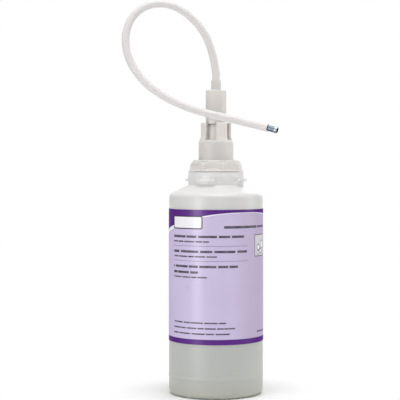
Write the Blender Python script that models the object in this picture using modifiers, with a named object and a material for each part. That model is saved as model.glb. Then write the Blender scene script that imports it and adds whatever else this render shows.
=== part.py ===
"""Hand soap refill pack: a round translucent bottle with a wrap-around label, an eight-sided screw cap,
a castellated pump collar, a foam pump with its pistons, check balls and foamer, and a stiff delivery tube.

Metres, +Z up. The origin is the centre of the bottle's base. The front faces -Y, and angles round the
pack are measured from the front towards +X."""

from math import cos, pi, radians, sin, tan

import bmesh
import bpy
from mathutils import Matrix, Vector

MM = 0.001

# Clearances
SEAT_GAP = 0.3 * MM
RUN_GAP = 0.4 * MM

# Bottle
BOTTLE_RADIUS = 40.6 * MM
BOTTLE_WALL = 1.0 * MM
BODY_HEIGHT = 172.4 * MM
SHOULDER_ANGLE = radians(24.6)
SHOULDER_ROUNDING = 5.1 * MM
BASE_ROUNDING = 7.9 * MM
FOOT_INNER_RADIUS = 30.5 * MM
FOOT_SLOPE_WIDTH = 3.5 * MM
PUSH_UP = 3.0 * MM
GRIP_RIB_HEIGHT = 16.4 * MM
GRIP_RIB_WIDTH = 2.0 * MM
GRIP_RIB_DEPTH = 0.3 * MM
BAND_RADIUS = 23.8 * MM
BAND_BULGE = 0.35 * MM
BAND_HEIGHT = 11.4 * MM
FINISH_RADIUS = 19.2 * MM
FINISH_WALL = 2.2 * MM
FINISH_HEIGHT = 4.4 * MM
LUG_COUNT = 4
LUG_REACH = 3.1 * MM
LUG_THICKNESS = 2.0 * MM
LUG_RISE = 3.6 * MM
LUG_WIDTH = radians(40)
LUG_TURN = radians(-22)

# Label
LABEL_THICKNESS = 0.12 * MM
LABEL_LOW = 46.3 * MM
LABEL_HEIGHT = 113.5 * MM
LABEL_SEAM = radians(153)
LABEL_LAP = radians(9)
STRIPE_HEIGHT = 4.5 * MM
WAVE_THIN = 1.9 * MM
WAVE_SWELL = 17.6 * MM
WAVE_THIN_ANGLE = radians(38)
LINE_THIN = 0.8 * MM
LINE_SWELL = 4.4 * MM

# Soap
HEADSPACE = 5.0 * MM

# Gasket
GASKET_THICKNESS = 1.0 * MM

# Screw cap
CAP_FLATS = 8
CAP_TURN = radians(15.5)
CAP_PLATE = 1.5 * MM
CAP_FLANGE_RADIUS = 24.0 * MM
CAP_FLANGE_EDGE = 0.6 * MM
CAP_CORNER_LOW = 23.9 * MM
CAP_CORNER_HIGH = 22.5 * MM
CAP_RIM_RADIUS = 19.9 * MM
CAP_CHAMFER = 2.3 * MM
NOTCH_WIDTH = radians(11)
NOTCH_DEPTH = 1.2 * MM
NOTCH_HEIGHT = 1.1 * MM

# Pump collar
COLLAR_RADIUS = 15.1 * MM
COLLAR_WALL = 1.2 * MM
COLLAR_FLANGE = 1.2 * MM
COLLAR_BODY = 17.1 * MM
COLLAR_CONE = 4.7 * MM
COLLAR_FLOOR_DROP = 1.2 * MM
PRONG_COUNT = 4
PRONG_RADIUS = 13.2 * MM
PRONG_WALL = 1.7 * MM
PRONG_HEIGHT = 12.3 * MM
PRONG_WIDTH = radians(45)
PRONG_TURN = radians(1)
SLOT_RISE = 0.6 * MM
CHIMNEY_HEIGHT = 14.3 * MM
CHIMNEY_WALL = 1.8 * MM

# Pump cylinder
CYLINDER_FLANGE = 1.0 * MM
CYLINDER_WALL = 0.8 * MM
CYLINDER_RIM_DROP = 1.4 * MM
CYLINDER_CONE = 4.5 * MM
LIQUID_BORE = 5.5 * MM
LIQUID_WALL = 0.9 * MM
LIQUID_LENGTH = 42.0 * MM
VALVE_BORE = 1.5 * MM
VALVE_SEAT_RISE = 1.5 * MM
VALVE_NECK = 2.0 * MM
SPIGOT_LENGTH = 11.0 * MM
SPIGOT_WALL = 1.0 * MM

# Pump movement
STROKE = 12.0 * MM
STROKE_SPARE = 1.5 * MM

# Pistons and stem
STEM_RADIUS = 5.1 * MM
STEM_WALL = 1.2 * MM
STEM_FOOT_RADIUS = 3.1 * MM
STEM_FOOT_WALL = 1.2 * MM
STEM_RING_REACH = 1.4 * MM
STEM_RING = 1.2 * MM
STEM_SLOT_WIDTH = radians(22)
AIR_HUB_LENGTH = 5.5 * MM
AIR_HUB_WALL = 1.3 * MM
AIR_CUP_HEIGHT = 5.6 * MM
AIR_CUP_DROP = 1.6 * MM
AIR_WEB = 1.2 * MM
AIR_LIP = 0.5 * MM
AIR_CUP_WALL = 1.3 * MM
FLAP_HUB = 1.2 * MM
FLAP_REACH = 3.4 * MM
FLAP_THICKNESS = 0.5 * MM
LIQUID_PISTON_DROP = 10.5 * MM
LIQUID_PISTON_HEIGHT = 9.0 * MM
LIQUID_PISTON_FLOOR = 1.5 * MM
LIQUID_LIP = 0.35 * MM

# Balls and spring
INLET_BALL_RADIUS = 2.25 * MM
OUTLET_BALL_RADIUS = 2.9 * MM
SPRING_RADIUS = 4.2 * MM
SPRING_WIRE = 0.9 * MM
SPRING_TURNS = 7
SPRING_POINTS_PER_TURN = 8

# Dip tube
DIP_RADIUS = 3.3 * MM
DIP_WALL = 0.9 * MM
DIP_END_HEIGHT = 8.0 * MM
DIP_END_SLOPE = radians(30)

# Pump head
HEAD_RADIUS = 8.95 * MM
HEAD_HEIGHT = 29.4 * MM
HEAD_ROUNDING = 0.8 * MM
SOCKET_HEIGHT = 8.5 * MM
SOCKET_WALL = 0.65 * MM
OUTLET_BORE = 2.2 * MM
OUTLET_LENGTH = 2.3 * MM
STEM_GRIP = 5.0 * MM

# Foamer
MESH_THICKNESS = 0.4 * MM
HOLDER_WALL = 0.9 * MM
COARSE_PITCH = 1.7 * MM
COARSE_HOLE = 1.05 * MM
FINE_PITCH = 1.2 * MM
FINE_HOLE = 0.65 * MM

# Delivery tube and its tip
TUBE_RADIUS = 3.3 * MM
TUBE_POINTS = 34
TIP_RADIUS = 2.8 * MM
TIP_LENGTH = 10.0 * MM
TIP_BORE = 2.1 * MM
TIP_GROOVE_DEPTH = 0.25 * MM
TIP_GROOVE_PLACE = 2.4 * MM

# The tube's route, in millimetres from the mouth of its socket
TUBE_ROUTE = [
    (0.0, 0.0, 0.0),
    (0.0, 0.0, 6.0),
    (-1.0, -1.0, 12.5),
    (-2.5, -2.0, 20.5),
    (-4.7, -3.0, 28.0),
    (-8.0, -4.5, 36.5),
    (-13.0, -6.0, 44.5),
    (-19.5, -7.5, 52.0),
    (-27.8, -9.0, 58.8),
    (-37.0, -10.5, 63.4),
    (-46.9, -12.0, 65.3),
    (-56.6, -13.5, 64.0),
    (-64.8, -15.0, 60.0),
    (-71.0, -16.5, 53.8),
    (-75.2, -18.0, 46.0),
    (-77.1, -19.3, 36.8),
    (-76.8, -20.5, 27.3),
    (-74.5, -21.5, 18.2),
    (-70.3, -22.5, 9.6),
    (-64.5, -23.3, 1.5),
    (-57.0, -24.0, -6.2),
    (-47.6, -24.7, -13.0),
    (-37.2, -25.5, -18.9),
    (-25.5, -26.5, -24.0),
    (-12.7, -27.8, -28.3),
    (0.4, -29.3, -31.7),
    (13.5, -31.2, -34.7),
    (27.0, -34.2, -38.1),
    (42.0, -39.6, -42.0),
]

# Sides of the round pieces, and the length of a rounding's chords
SIDES_LARGE = 40
SIDES_MEDIUM = 32
SIDES_SMALL = 24
SIDES_FINE = 20
FILLET_CHORD = 1.6 * MM

# Heights worked out from the sizes, from the base up
SHOULDER_TOP = BODY_HEIGHT + (BOTTLE_RADIUS - BAND_RADIUS) * tan(SHOULDER_ANGLE)
BAND_TOP = SHOULDER_TOP + BAND_HEIGHT
RIM = BAND_TOP + FINISH_HEIGHT
GASKET_LOW = RIM + SEAT_GAP
CYLINDER_FLANGE_LOW = GASKET_LOW + GASKET_THICKNESS + SEAT_GAP
CYLINDER_FLANGE_TOP = CYLINDER_FLANGE_LOW + CYLINDER_FLANGE
COLLAR_LOW = CYLINDER_FLANGE_TOP + SEAT_GAP
COLLAR_FLANGE_TOP = COLLAR_LOW + COLLAR_FLANGE
CAP_LOW = BAND_TOP + SEAT_GAP
CAP_PLATE_LOW = COLLAR_FLANGE_TOP + SEAT_GAP
CAP_TOP = CAP_PLATE_LOW + CAP_PLATE
COLLAR_BODY_TOP = COLLAR_FLANGE_TOP + COLLAR_BODY
COLLAR_FLOOR = COLLAR_BODY_TOP + COLLAR_FLOOR_DROP
COLLAR_CEILING = COLLAR_FLOOR - COLLAR_WALL
PRONG_FOOT = COLLAR_BODY_TOP + COLLAR_CONE
PRONG_TOP = PRONG_FOOT + PRONG_HEIGHT
SLOT_FLOOR = COLLAR_FLOOR + SLOT_RISE
CHIMNEY_TOP = COLLAR_FLOOR + CHIMNEY_HEIGHT
HEAD_LOW = CHIMNEY_TOP + RUN_GAP
HEAD_TOP = HEAD_LOW + HEAD_HEIGHT
SOCKET_TOP = HEAD_TOP + SOCKET_HEIGHT
SKIRT_CEILING = HEAD_LOW + STROKE + STROKE_SPARE
STEM_TOP = SKIRT_CEILING + STEM_GRIP
COARSE_MESH_LOW = STEM_TOP + SEAT_GAP
HOLDER_LOW = COARSE_MESH_LOW + MESH_THICKNESS + SEAT_GAP
FOAMER_CEILING = HEAD_TOP - OUTLET_LENGTH
FINE_MESH_LOW = FOAMER_CEILING - SEAT_GAP - MESH_THICKNESS
HOLDER_TOP = FINE_MESH_LOW - SEAT_GAP
AIR_HUB_TOP = COLLAR_CEILING - SEAT_GAP
AIR_HUB_LOW = AIR_HUB_TOP - AIR_HUB_LENGTH
AIR_CUP_TOP = AIR_HUB_TOP - AIR_CUP_DROP
AIR_CUP_LOW = AIR_CUP_TOP - AIR_CUP_HEIGHT
FLAP_TOP = AIR_HUB_LOW - SEAT_GAP
FLAP_LOW = FLAP_TOP - FLAP_HUB
STEM_RING_TOP = FLAP_LOW - SEAT_GAP
STEM_RING_LOW = STEM_RING_TOP - STEM_RING
CYLINDER_RIM = COLLAR_CEILING - CYLINDER_RIM_DROP
AIR_FLOOR = min(AIR_CUP_LOW, STEM_RING_LOW) - STROKE - STROKE_SPARE
LIQUID_TOP = AIR_FLOOR - CYLINDER_CONE
SPRING_LEDGE = LIQUID_TOP - LIQUID_LENGTH
VALVE_LOW = SPRING_LEDGE - VALVE_SEAT_RISE
TUBE_STOP = VALVE_LOW - VALVE_NECK
SPIGOT_LOW = TUBE_STOP - SPIGOT_LENGTH
LIQUID_PISTON_TOP = LIQUID_TOP - LIQUID_PISTON_DROP
LIQUID_PISTON_LOW = LIQUID_PISTON_TOP - LIQUID_PISTON_HEIGHT
STEM_LOW = LIQUID_PISTON_LOW + LIQUID_PISTON_FLOOR + SEAT_GAP
SOAP_TOP = BODY_HEIGHT - HEADSPACE

# Radii worked out from the sizes, from the stem outwards
STEM_BORE = STEM_RADIUS - STEM_WALL
STEM_FOOT_BORE = STEM_FOOT_RADIUS - STEM_FOOT_WALL
CHIMNEY_BORE = STEM_RADIUS + RUN_GAP
CHIMNEY_RADIUS = CHIMNEY_BORE + CHIMNEY_WALL
SKIRT_BORE = CHIMNEY_RADIUS + RUN_GAP
STEM_GRIP_BORE = STEM_RADIUS + SEAT_GAP
PRONG_BORE = PRONG_RADIUS - PRONG_WALL
COLLAR_BORE = COLLAR_RADIUS - COLLAR_WALL
CYLINDER_RADIUS = COLLAR_BORE - RUN_GAP
CYLINDER_BORE = CYLINDER_RADIUS - CYLINDER_WALL
FLANGE_RADIUS = FINISH_RADIUS - SEAT_GAP
AIR_LIP_RADIUS = CYLINDER_BORE - SEAT_GAP
AIR_HUB_RADIUS = STEM_GRIP_BORE + AIR_HUB_WALL
LIQUID_RADIUS = LIQUID_BORE + LIQUID_WALL
LIQUID_LIP_RADIUS = LIQUID_BORE - SEAT_GAP
SPIGOT_BORE = DIP_RADIUS + SEAT_GAP
SPIGOT_RADIUS = SPIGOT_BORE + SPIGOT_WALL
TUBE_SOCKET_BORE = TUBE_RADIUS + SEAT_GAP
SOCKET_RADIUS = TUBE_SOCKET_BORE + SOCKET_WALL
FINISH_BORE = FINISH_RADIUS - FINISH_WALL
CAP_BORE = FINISH_RADIUS + RUN_GAP
CAP_HOLE = COLLAR_RADIUS + RUN_GAP
FOAMER_RADIUS = STEM_GRIP_BORE - SEAT_GAP


def linear(red, green, blue):
    """A colour read on screen, 0 to 255, as Blender's linear values."""

    def channel(value):
        share = value / 255
        return share / 12.92 if share <= 0.04045 else ((share + 0.055) / 1.055) ** 2.4

    return channel(red), channel(green), channel(blue), 1.0


def make_material(name, colour, roughness, metallic=0.0, transmission=0.0):
    material = bpy.data.materials.new(name)
    material.use_nodes = True
    material.diffuse_color = colour
    shader = material.node_tree.nodes["Principled BSDF"]
    shader.inputs["Base Color"].default_value = colour
    shader.inputs["Roughness"].default_value = roughness
    shader.inputs["Metallic"].default_value = metallic
    shader.inputs["Transmission Weight"].default_value = transmission
    return material


def make_collection(name):
    collection = bpy.data.collections.new(name)
    bpy.context.scene.collection.children.link(collection)
    return collection


def add_object(name, data, collection):
    obj = bpy.data.objects.new(name, data)
    collection.objects.link(obj)
    return obj


def add_cutter(name, mesh):
    """A shape that only cuts or joins another one."""
    cutter = add_object(name, mesh, CUTTERS)
    cutter.hide_render = True
    cutter.display_type = "WIRE"
    return cutter


def around(radius, angle, height):
    """A point at an angle from the front."""
    return Vector((radius * sin(angle), -radius * cos(angle), height))


def rounded(corners, chord=FILLET_CHORD):
    """The outline through (radius, height, rounding) corners, each rounding an arc of short chords."""
    outline = []
    for index, (radius, height, rounding) in enumerate(corners):
        corner = Vector((radius, height))
        if not rounding:
            outline.append(corner)
            continue
        before = Vector(corners[index - 1][:2]) - corner
        after = Vector(corners[(index + 1) % len(corners)][:2]) - corner
        half = before.angle(after) / 2
        reach = min(rounding / tan(half), 0.48 * before.length, 0.48 * after.length)
        to_middle = (before.normalized() + after.normalized()).normalized()
        centre = corner + to_middle * reach / cos(half)
        first = corner + before.normalized() * reach - centre
        last = corner + after.normalized() * reach - centre
        sweep = first.angle(last)
        chords = max(1, min(5, round(rounding * sweep / chord)))
        for step in range(chords + 1):
            share = step / chords
            arm = (first * sin((1 - share) * sweep) + last * sin(share * sweep)) / sin(sweep)
            outline.append(centre + arm)
    return outline


def turned_mesh(name, outline, sides, closed=True):
    """An object whose outline is turned round Z. The outline runs down its outer side."""
    mesh = bpy.data.meshes.new(name)
    count = len(outline)
    edges = [(index, index + 1) for index in range(count - 1)]
    if closed:
        edges.append((count - 1, 0))
    mesh.from_pydata([(point[0], 0, point[1]) for point in outline], edges, [])
    obj = bpy.data.objects.new(name, mesh)
    turn = obj.modifiers.new("Turn", "SCREW")
    turn.steps = sides
    turn.render_steps = sides
    turn.use_merge_vertices = True
    turn.merge_threshold = 0.01 * MM
    return obj


def turned(name, outline, sides, closed=True):
    obj = turned_mesh(name, outline, sides, closed)
    PARTS.objects.link(obj)
    return obj


def turned_cutter(name, outline, sides, closed=False):
    obj = turned_mesh(name, outline, sides, closed)
    CUTTERS.objects.link(obj)
    obj.hide_render = True
    obj.display_type = "WIRE"
    return obj


def ring_sectors(name, inner, outer, low, high, width, count, first, chords):
    """Blocks between two radii and two heights, each as wide as an angle, spaced round the axis."""
    shape = bmesh.new()
    for index in range(count):
        middle = first + 2 * pi * index / count
        angles = [middle + width * (step / chords - 0.5) for step in range(chords + 1)]
        corners = [around(outer, angle, low) for angle in angles]
        corners += [around(inner, angle, low) for angle in reversed(angles)]
        face = shape.faces.new([shape.verts.new(corner) for corner in corners])
        grown = bmesh.ops.extrude_face_region(shape, geom=[face])
        raised = [item for item in grown["geom"] if isinstance(item, bmesh.types.BMVert)]
        bmesh.ops.translate(shape, verts=raised, vec=(0, 0, high - low))
    bmesh.ops.recalc_face_normals(shape, faces=shape.faces)
    mesh = bpy.data.meshes.new(name)
    shape.to_mesh(mesh)
    shape.free()
    return add_cutter(name, mesh)


def grid_of_posts(name, pitch, width, reach, low, high):
    """Square posts on a grid, all inside a circle, that cut a disc into a mesh."""
    shape = bmesh.new()
    most = int(reach / pitch)
    for column in range(-most, most + 1):
        for row in range(-most, most + 1):
            place = Vector((column * pitch, row * pitch, (low + high) / 2))
            if place.xy.length + width * 0.7 > reach:
                continue
            size = Matrix.Diagonal((width, width, high - low, 1))
            bmesh.ops.create_cube(shape, size=1, matrix=Matrix.Translation(place) @ size)
    mesh = bpy.data.meshes.new(name)
    shape.to_mesh(mesh)
    shape.free()
    return add_cutter(name, mesh)


def combine(obj, other, operation):
    boolean = obj.modifiers.new(other.name, "BOOLEAN")
    boolean.operation = operation
    boolean.solver = "EXACT"
    boolean.object = other


def finish(obj, material, parent=None, smooth_angle=32):
    """Bakes the modifiers into the mesh, shades the round faces smooth and gives the piece its material."""
    graph = bpy.context.evaluated_depsgraph_get()
    mesh = bpy.data.meshes.new_from_object(obj.evaluated_get(graph))
    mesh.name = obj.name
    obj.modifiers.clear()
    obj.data = mesh
    mesh.shade_smooth()
    mesh.set_sharp_from_angle(angle=radians(smooth_angle))
    if not mesh.materials:
        mesh.materials.append(material)
    elif mesh.materials[0] is None:
        mesh.materials[0] = material
    obj.parent = parent
    return obj


def shoulder_corners(inset, top):
    """The body's outline from the neck down to the middle of the base, set in from the outer face."""
    slope_gap = inset / cos(SHOULDER_ANGLE)
    wall = BOTTLE_RADIUS - inset
    neck = BAND_RADIUS - inset
    body_top = BODY_HEIGHT + inset * tan(SHOULDER_ANGLE) - slope_gap
    neck_foot = body_top + (wall - neck) * tan(SHOULDER_ANGLE)
    corners = [(neck, neck_foot, 0.8 * MM), (wall, body_top, SHOULDER_ROUNDING - inset)]
    if top < body_top:
        corners = [(wall, top, 0)]
    return corners


def base_corners(inset):
    """The base's outline from its rounded edge to its middle, set in from the outer face."""
    wall = BOTTLE_RADIUS - inset
    slope_inner = FOOT_INNER_RADIUS - FOOT_SLOPE_WIDTH
    return [
        (wall, inset, BASE_ROUNDING - inset),
        (FOOT_INNER_RADIUS + inset / 2, inset, 0.5 * MM),
        (slope_inner + inset / 2, PUSH_UP * 0.8 + inset, 1.5 * MM),
        (0, PUSH_UP + inset, 0),
    ]


def build_bottle():
    rib = GRIP_RIB_HEIGHT
    half = GRIP_RIB_WIDTH / 2
    outside = [
        (FINISH_RADIUS, RIM, 0.4 * MM),
        (FINISH_RADIUS, BAND_TOP, 0),
        (BAND_RADIUS, BAND_TOP, 0.9 * MM),
        (BAND_RADIUS + BAND_BULGE, BAND_TOP - 0.3 * BAND_HEIGHT, 0),
        (BAND_RADIUS + BAND_BULGE, SHOULDER_TOP + 0.3 * BAND_HEIGHT, 0),
        *shoulder_corners(0, RIM),
        (BOTTLE_RADIUS, rib + 2 * half, 0),
        (BOTTLE_RADIUS + GRIP_RIB_DEPTH, rib + half, 0),
        (BOTTLE_RADIUS + GRIP_RIB_DEPTH, rib - half, 0),
        (BOTTLE_RADIUS, rib - 2 * half, 0),
        *base_corners(0),
    ]
    inside = [
        (FINISH_BORE, RIM, 0),
        (FINISH_BORE, BAND_TOP - FINISH_WALL, 0),
        (BAND_RADIUS - BOTTLE_WALL, BAND_TOP - FINISH_WALL, 0.8 * MM),
        *shoulder_corners(BOTTLE_WALL, RIM),
        *base_corners(BOTTLE_WALL),
    ]
    outline = list(reversed(rounded(inside, 2 * FILLET_CHORD))) + rounded(outside)
    bottle = turned("bottle", outline, SIDES_LARGE, closed=False)
    low = SHOULDER_TOP + LUG_RISE
    lugs = ring_sectors(
        "neck_lugs",
        BAND_RADIUS - BOTTLE_WALL / 2,
        BAND_RADIUS + LUG_REACH,
        low,
        low + LUG_THICKNESS,
        LUG_WIDTH,
        LUG_COUNT,
        LUG_TURN,
        chords=5,
    )
    combine(bottle, lugs, "UNION")
    return finish(bottle, HDPE)


def wave_drop(angle):
    """How far the label's upper colour reaches down at an angle, and the white line under it."""
    share = (1 - cos(angle - WAVE_THIN_ANGLE)) / 2
    return WAVE_THIN + WAVE_SWELL * share, LINE_THIN + LINE_SWELL * share


def build_label():
    """One strip of film round the bottle, whose end laps over its start at the back."""
    step_angle = 2 * pi / SIDES_LARGE
    steps = SIDES_LARGE + round(LABEL_LAP / step_angle)
    lower = BOTTLE_RADIUS + SEAT_GAP
    top = LABEL_LOW + LABEL_HEIGHT
    shape = bmesh.new()
    columns = []
    for step in range(steps + 1):
        angle = LABEL_SEAM + step * step_angle
        over = step > SIDES_LARGE - 1
        radius = lower + (LABEL_THICKNESS + SEAT_GAP if over else 0)
        drop, line = wave_drop(angle)
        heights = (LABEL_LOW, LABEL_LOW + STRIPE_HEIGHT, top - drop - line, top - drop, top)
        columns.append([shape.verts.new(around(radius, angle, height)) for height in heights])
    colours = (1, 0, 2, 1)
    for left, right in zip(columns, columns[1:]):
        for row, colour in enumerate(colours):
            face = shape.faces.new((left[row], right[row], right[row + 1], left[row + 1]))
            face.material_index = colour
    mesh = bpy.data.meshes.new("label")
    shape.to_mesh(mesh)
    shape.free()
    label = add_object("label", mesh, PARTS)
    for material in (LILAC_FILM, PURPLE_FILM, WHITE_FILM):
        mesh.materials.append(material)
    skin = label.modifiers.new("Film", "SOLIDIFY")
    skin.thickness = LABEL_THICKNESS
    skin.offset = 1
    return finish(label, LILAC_FILM)


def build_soap():
    """The filling, with the space that the pump's cylinder and dip tube take up in it."""
    inset = BOTTLE_WALL + SEAT_GAP
    bore = DIP_RADIUS + 2 * SEAT_GAP
    spigot_bore = SPIGOT_RADIUS + 2 * SEAT_GAP
    cylinder_bore = LIQUID_RADIUS + 2 * SEAT_GAP
    outside = rounded([*shoulder_corners(inset, SOAP_TOP), *base_corners(inset)], 2 * FILLET_CHORD)
    floor = DIP_END_HEIGHT - 2 * SEAT_GAP
    well = [
        (0, floor),
        (bore, floor),
        (bore, SPIGOT_LOW - SEAT_GAP),
        (spigot_bore, SPIGOT_LOW - SEAT_GAP),
        (spigot_bore, TUBE_STOP - SEAT_GAP),
        (cylinder_bore, TUBE_STOP - SEAT_GAP),
        (cylinder_bore, SOAP_TOP),
    ]
    soap = turned("liquid_soap", well + outside, SIDES_LARGE, closed=False)
    return finish(soap, SOAP)


def build_gasket():
    outline = [
        (FLANGE_RADIUS, GASKET_LOW + GASKET_THICKNESS),
        (FLANGE_RADIUS, GASKET_LOW),
        (CYLINDER_RADIUS + 2 * SEAT_GAP, GASKET_LOW),
        (CYLINDER_RADIUS + 2 * SEAT_GAP, GASKET_LOW + GASKET_THICKNESS),
    ]
    return finish(turned("neck_gasket", outline, SIDES_MEDIUM), ELASTOMER)


def build_cap():
    """Eight drafted flats over a round flange, whose sloping top they cut in arches."""
    frustum_low = CAP_LOW + CAP_FLANGE_EDGE
    taper = (CAP_CORNER_LOW - CAP_CORNER_HIGH) / (CAP_TOP - frustum_low)
    height = CAP_TOP + CAP_PLATE - frustum_low
    shape = bmesh.new()
    place = Matrix.Translation((0, 0, frustum_low + height / 2)) @ Matrix.Rotation(CAP_TURN, 4, "Z")
    bmesh.ops.create_cone(
        shape,
        cap_ends=True,
        segments=CAP_FLATS,
        radius1=CAP_CORNER_LOW,
        radius2=CAP_CORNER_LOW - taper * height,
        depth=height,
        matrix=place,
    )
    mesh = bpy.data.meshes.new("screw_cap")
    shape.to_mesh(mesh)
    shape.free()
    cap = add_object("screw_cap", mesh, PARTS)
    wide = CAP_FLANGE_RADIUS * 1.2
    chamfer_run = CAP_CORNER_HIGH - CAP_RIM_RADIUS
    envelope = turned_cutter(
        "cap_envelope",
        [
            (0, CAP_TOP),
            (CAP_RIM_RADIUS, CAP_TOP),
            (CAP_RIM_RADIUS + chamfer_run * 0.6, CAP_TOP - CAP_CHAMFER * 0.35),
            (CAP_CORNER_HIGH, CAP_TOP - CAP_CHAMFER),
            (wide, CAP_TOP - CAP_CHAMFER - (wide - CAP_CORNER_HIGH)),
            (wide, CAP_LOW - CAP_PLATE),
            (0, CAP_LOW - CAP_PLATE),
        ],
        SIDES_MEDIUM,
    )
    combine(cap, envelope, "INTERSECT")
    flange_rise = CAP_FLANGE_RADIUS - CAP_BORE - COLLAR_WALL
    flange = turned_cutter(
        "cap_flange",
        [
            (0, frustum_low + flange_rise),
            (CAP_FLANGE_RADIUS - flange_rise, frustum_low + flange_rise),
            (CAP_FLANGE_RADIUS, frustum_low),
            (CAP_FLANGE_RADIUS, CAP_LOW),
            (0, CAP_LOW),
        ],
        SIDES_LARGE,
    )
    combine(cap, flange, "UNION")
    bore = turned_cutter(
        "cap_bore",
        [
            (0, CAP_TOP + CAP_PLATE),
            (CAP_HOLE, CAP_TOP + CAP_PLATE),
            (CAP_HOLE, CAP_PLATE_LOW),
            (CAP_BORE, CAP_PLATE_LOW),
            (CAP_BORE, CAP_LOW - CAP_PLATE),
            (0, CAP_LOW - CAP_PLATE),
        ],
        SIDES_LARGE,
    )
    combine(cap, bore, "DIFFERENCE")
    notches = ring_sectors(
        "cap_notches",
        CAP_CORNER_HIGH - NOTCH_DEPTH - CAP_CHAMFER / 2,
        wide,
        CAP_TOP - NOTCH_HEIGHT,
        CAP_TOP + CAP_PLATE,
        NOTCH_WIDTH,
        CAP_FLATS,
        CAP_TURN,
        chords=1,
    )
    combine(cap, notches, "DIFFERENCE")
    return finish(cap, WHITE_PP, CAP_JOINT)


def build_collar():
    """Flange, tall body and conical shoulder with four prongs round the chimney that guides the stem."""
    outline = rounded(
        [
            (PRONG_RADIUS, PRONG_TOP, 0.3 * MM),
            (PRONG_RADIUS, PRONG_FOOT, 1.0 * MM),
            (COLLAR_RADIUS, COLLAR_BODY_TOP, 1.2 * MM),
            (COLLAR_RADIUS, COLLAR_FLANGE_TOP, 0),
            (FLANGE_RADIUS, COLLAR_FLANGE_TOP, 0),
            (FLANGE_RADIUS, COLLAR_LOW, 0),
            (COLLAR_BORE, COLLAR_LOW, 0),
            (COLLAR_BORE, COLLAR_CEILING, 0.8 * MM),
            (CHIMNEY_BORE, COLLAR_CEILING, 0),
            (CHIMNEY_BORE, CHIMNEY_TOP, 0),
            (CHIMNEY_RADIUS, CHIMNEY_TOP, 0.3 * MM),
            (CHIMNEY_RADIUS, COLLAR_FLOOR, 0),
            (PRONG_BORE, COLLAR_FLOOR, 0),
            (PRONG_BORE, PRONG_TOP, 0.2 * MM),
        ]
    )
    collar = turned("pump_collar", outline, SIDES_MEDIUM)
    slots = ring_sectors(
        "collar_slots",
        (CHIMNEY_RADIUS + PRONG_BORE) / 2,
        COLLAR_RADIUS + COLLAR_WALL,
        SLOT_FLOOR,
        PRONG_TOP + COLLAR_WALL,
        2 * pi / PRONG_COUNT - PRONG_WIDTH,
        PRONG_COUNT,
        PRONG_TURN - PRONG_WIDTH / 2,
        chords=4,
    )
    combine(collar, slots, "DIFFERENCE")
    return finish(collar, WHITE_PP, INSERT)


def build_cylinder():
    """Air cylinder with its flange, liquid cylinder, ball seat and the spigot that holds the dip tube."""
    outline = rounded(
        [
            (CYLINDER_RADIUS, CYLINDER_RIM, 0.2 * MM),
            (CYLINDER_RADIUS, CYLINDER_FLANGE_TOP, 0),
            (FLANGE_RADIUS, CYLINDER_FLANGE_TOP, 0),
            (FLANGE_RADIUS, CYLINDER_FLANGE_LOW, 0),
            (CYLINDER_RADIUS, CYLINDER_FLANGE_LOW, 0),
            (CYLINDER_RADIUS, AIR_FLOOR - CYLINDER_WALL, 1.5 * MM),
            (LIQUID_RADIUS, LIQUID_TOP - CYLINDER_WALL, 1.0 * MM),
            (LIQUID_RADIUS, TUBE_STOP, 0.8 * MM),
            (SPIGOT_RADIUS, TUBE_STOP, 0),
            (SPIGOT_RADIUS, SPIGOT_LOW, 0.3 * MM),
            (SPIGOT_BORE, SPIGOT_LOW, 0),
            (SPIGOT_BORE, TUBE_STOP, 0),
            (VALVE_BORE, TUBE_STOP, 0),
            (VALVE_BORE, VALVE_LOW, 0),
            (VALVE_BORE + VALVE_SEAT_RISE, SPRING_LEDGE, 0),
            (LIQUID_BORE, SPRING_LEDGE, 0),
            (LIQUID_BORE, LIQUID_TOP, 0.5 * MM),
            (CYLINDER_BORE, AIR_FLOOR, 1.0 * MM),
            (CYLINDER_BORE, CYLINDER_RIM, 0.2 * MM),
        ]
    )
    return finish(turned("pump_cylinder", outline, SIDES_SMALL), CLEAR_PP, INSERT)


def build_ball(name, radius, seat_bore, seat_height, parent):
    """A check ball, resting in a 45 degree seat."""
    shape = bmesh.new()
    height = seat_height - seat_bore + (radius + SEAT_GAP) * 2**0.5
    bmesh.ops.create_icosphere(
        shape, subdivisions=2, radius=radius, matrix=Matrix.Translation((0, 0, height))
    )
    mesh = bpy.data.meshes.new(name)
    shape.to_mesh(mesh)
    shape.free()
    return finish(add_object(name, mesh, PARTS), STEEL, parent, smooth_angle=60)


def build_dip_tube():
    """Runs from the pump's spigot down to the base, with a slanted end."""
    top = TUBE_STOP - SEAT_GAP
    outline = [
        (DIP_RADIUS, top),
        (DIP_RADIUS, DIP_END_HEIGHT),
        (DIP_RADIUS - DIP_WALL, DIP_END_HEIGHT),
        (DIP_RADIUS - DIP_WALL, top),
    ]
    tube = turned("dip_tube", outline, SIDES_FINE)
    shape = bmesh.new()
    size = 6 * DIP_RADIUS
    slope = Matrix.Rotation(DIP_END_SLOPE, 4, "Y")
    end = Vector((0, 0, DIP_END_HEIGHT + DIP_RADIUS * tan(DIP_END_SLOPE)))
    below = Matrix.Translation((0, 0, -size / 2))
    bmesh.ops.create_cube(shape, size=size, matrix=Matrix.Translation(end) @ slope @ below)
    mesh = bpy.data.meshes.new("dip_tube_end")
    shape.to_mesh(mesh)
    shape.free()
    combine(tube, add_cutter("dip_tube_end", mesh), "DIFFERENCE")
    return finish(tube, CLEAR_PP, INSERT)


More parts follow.
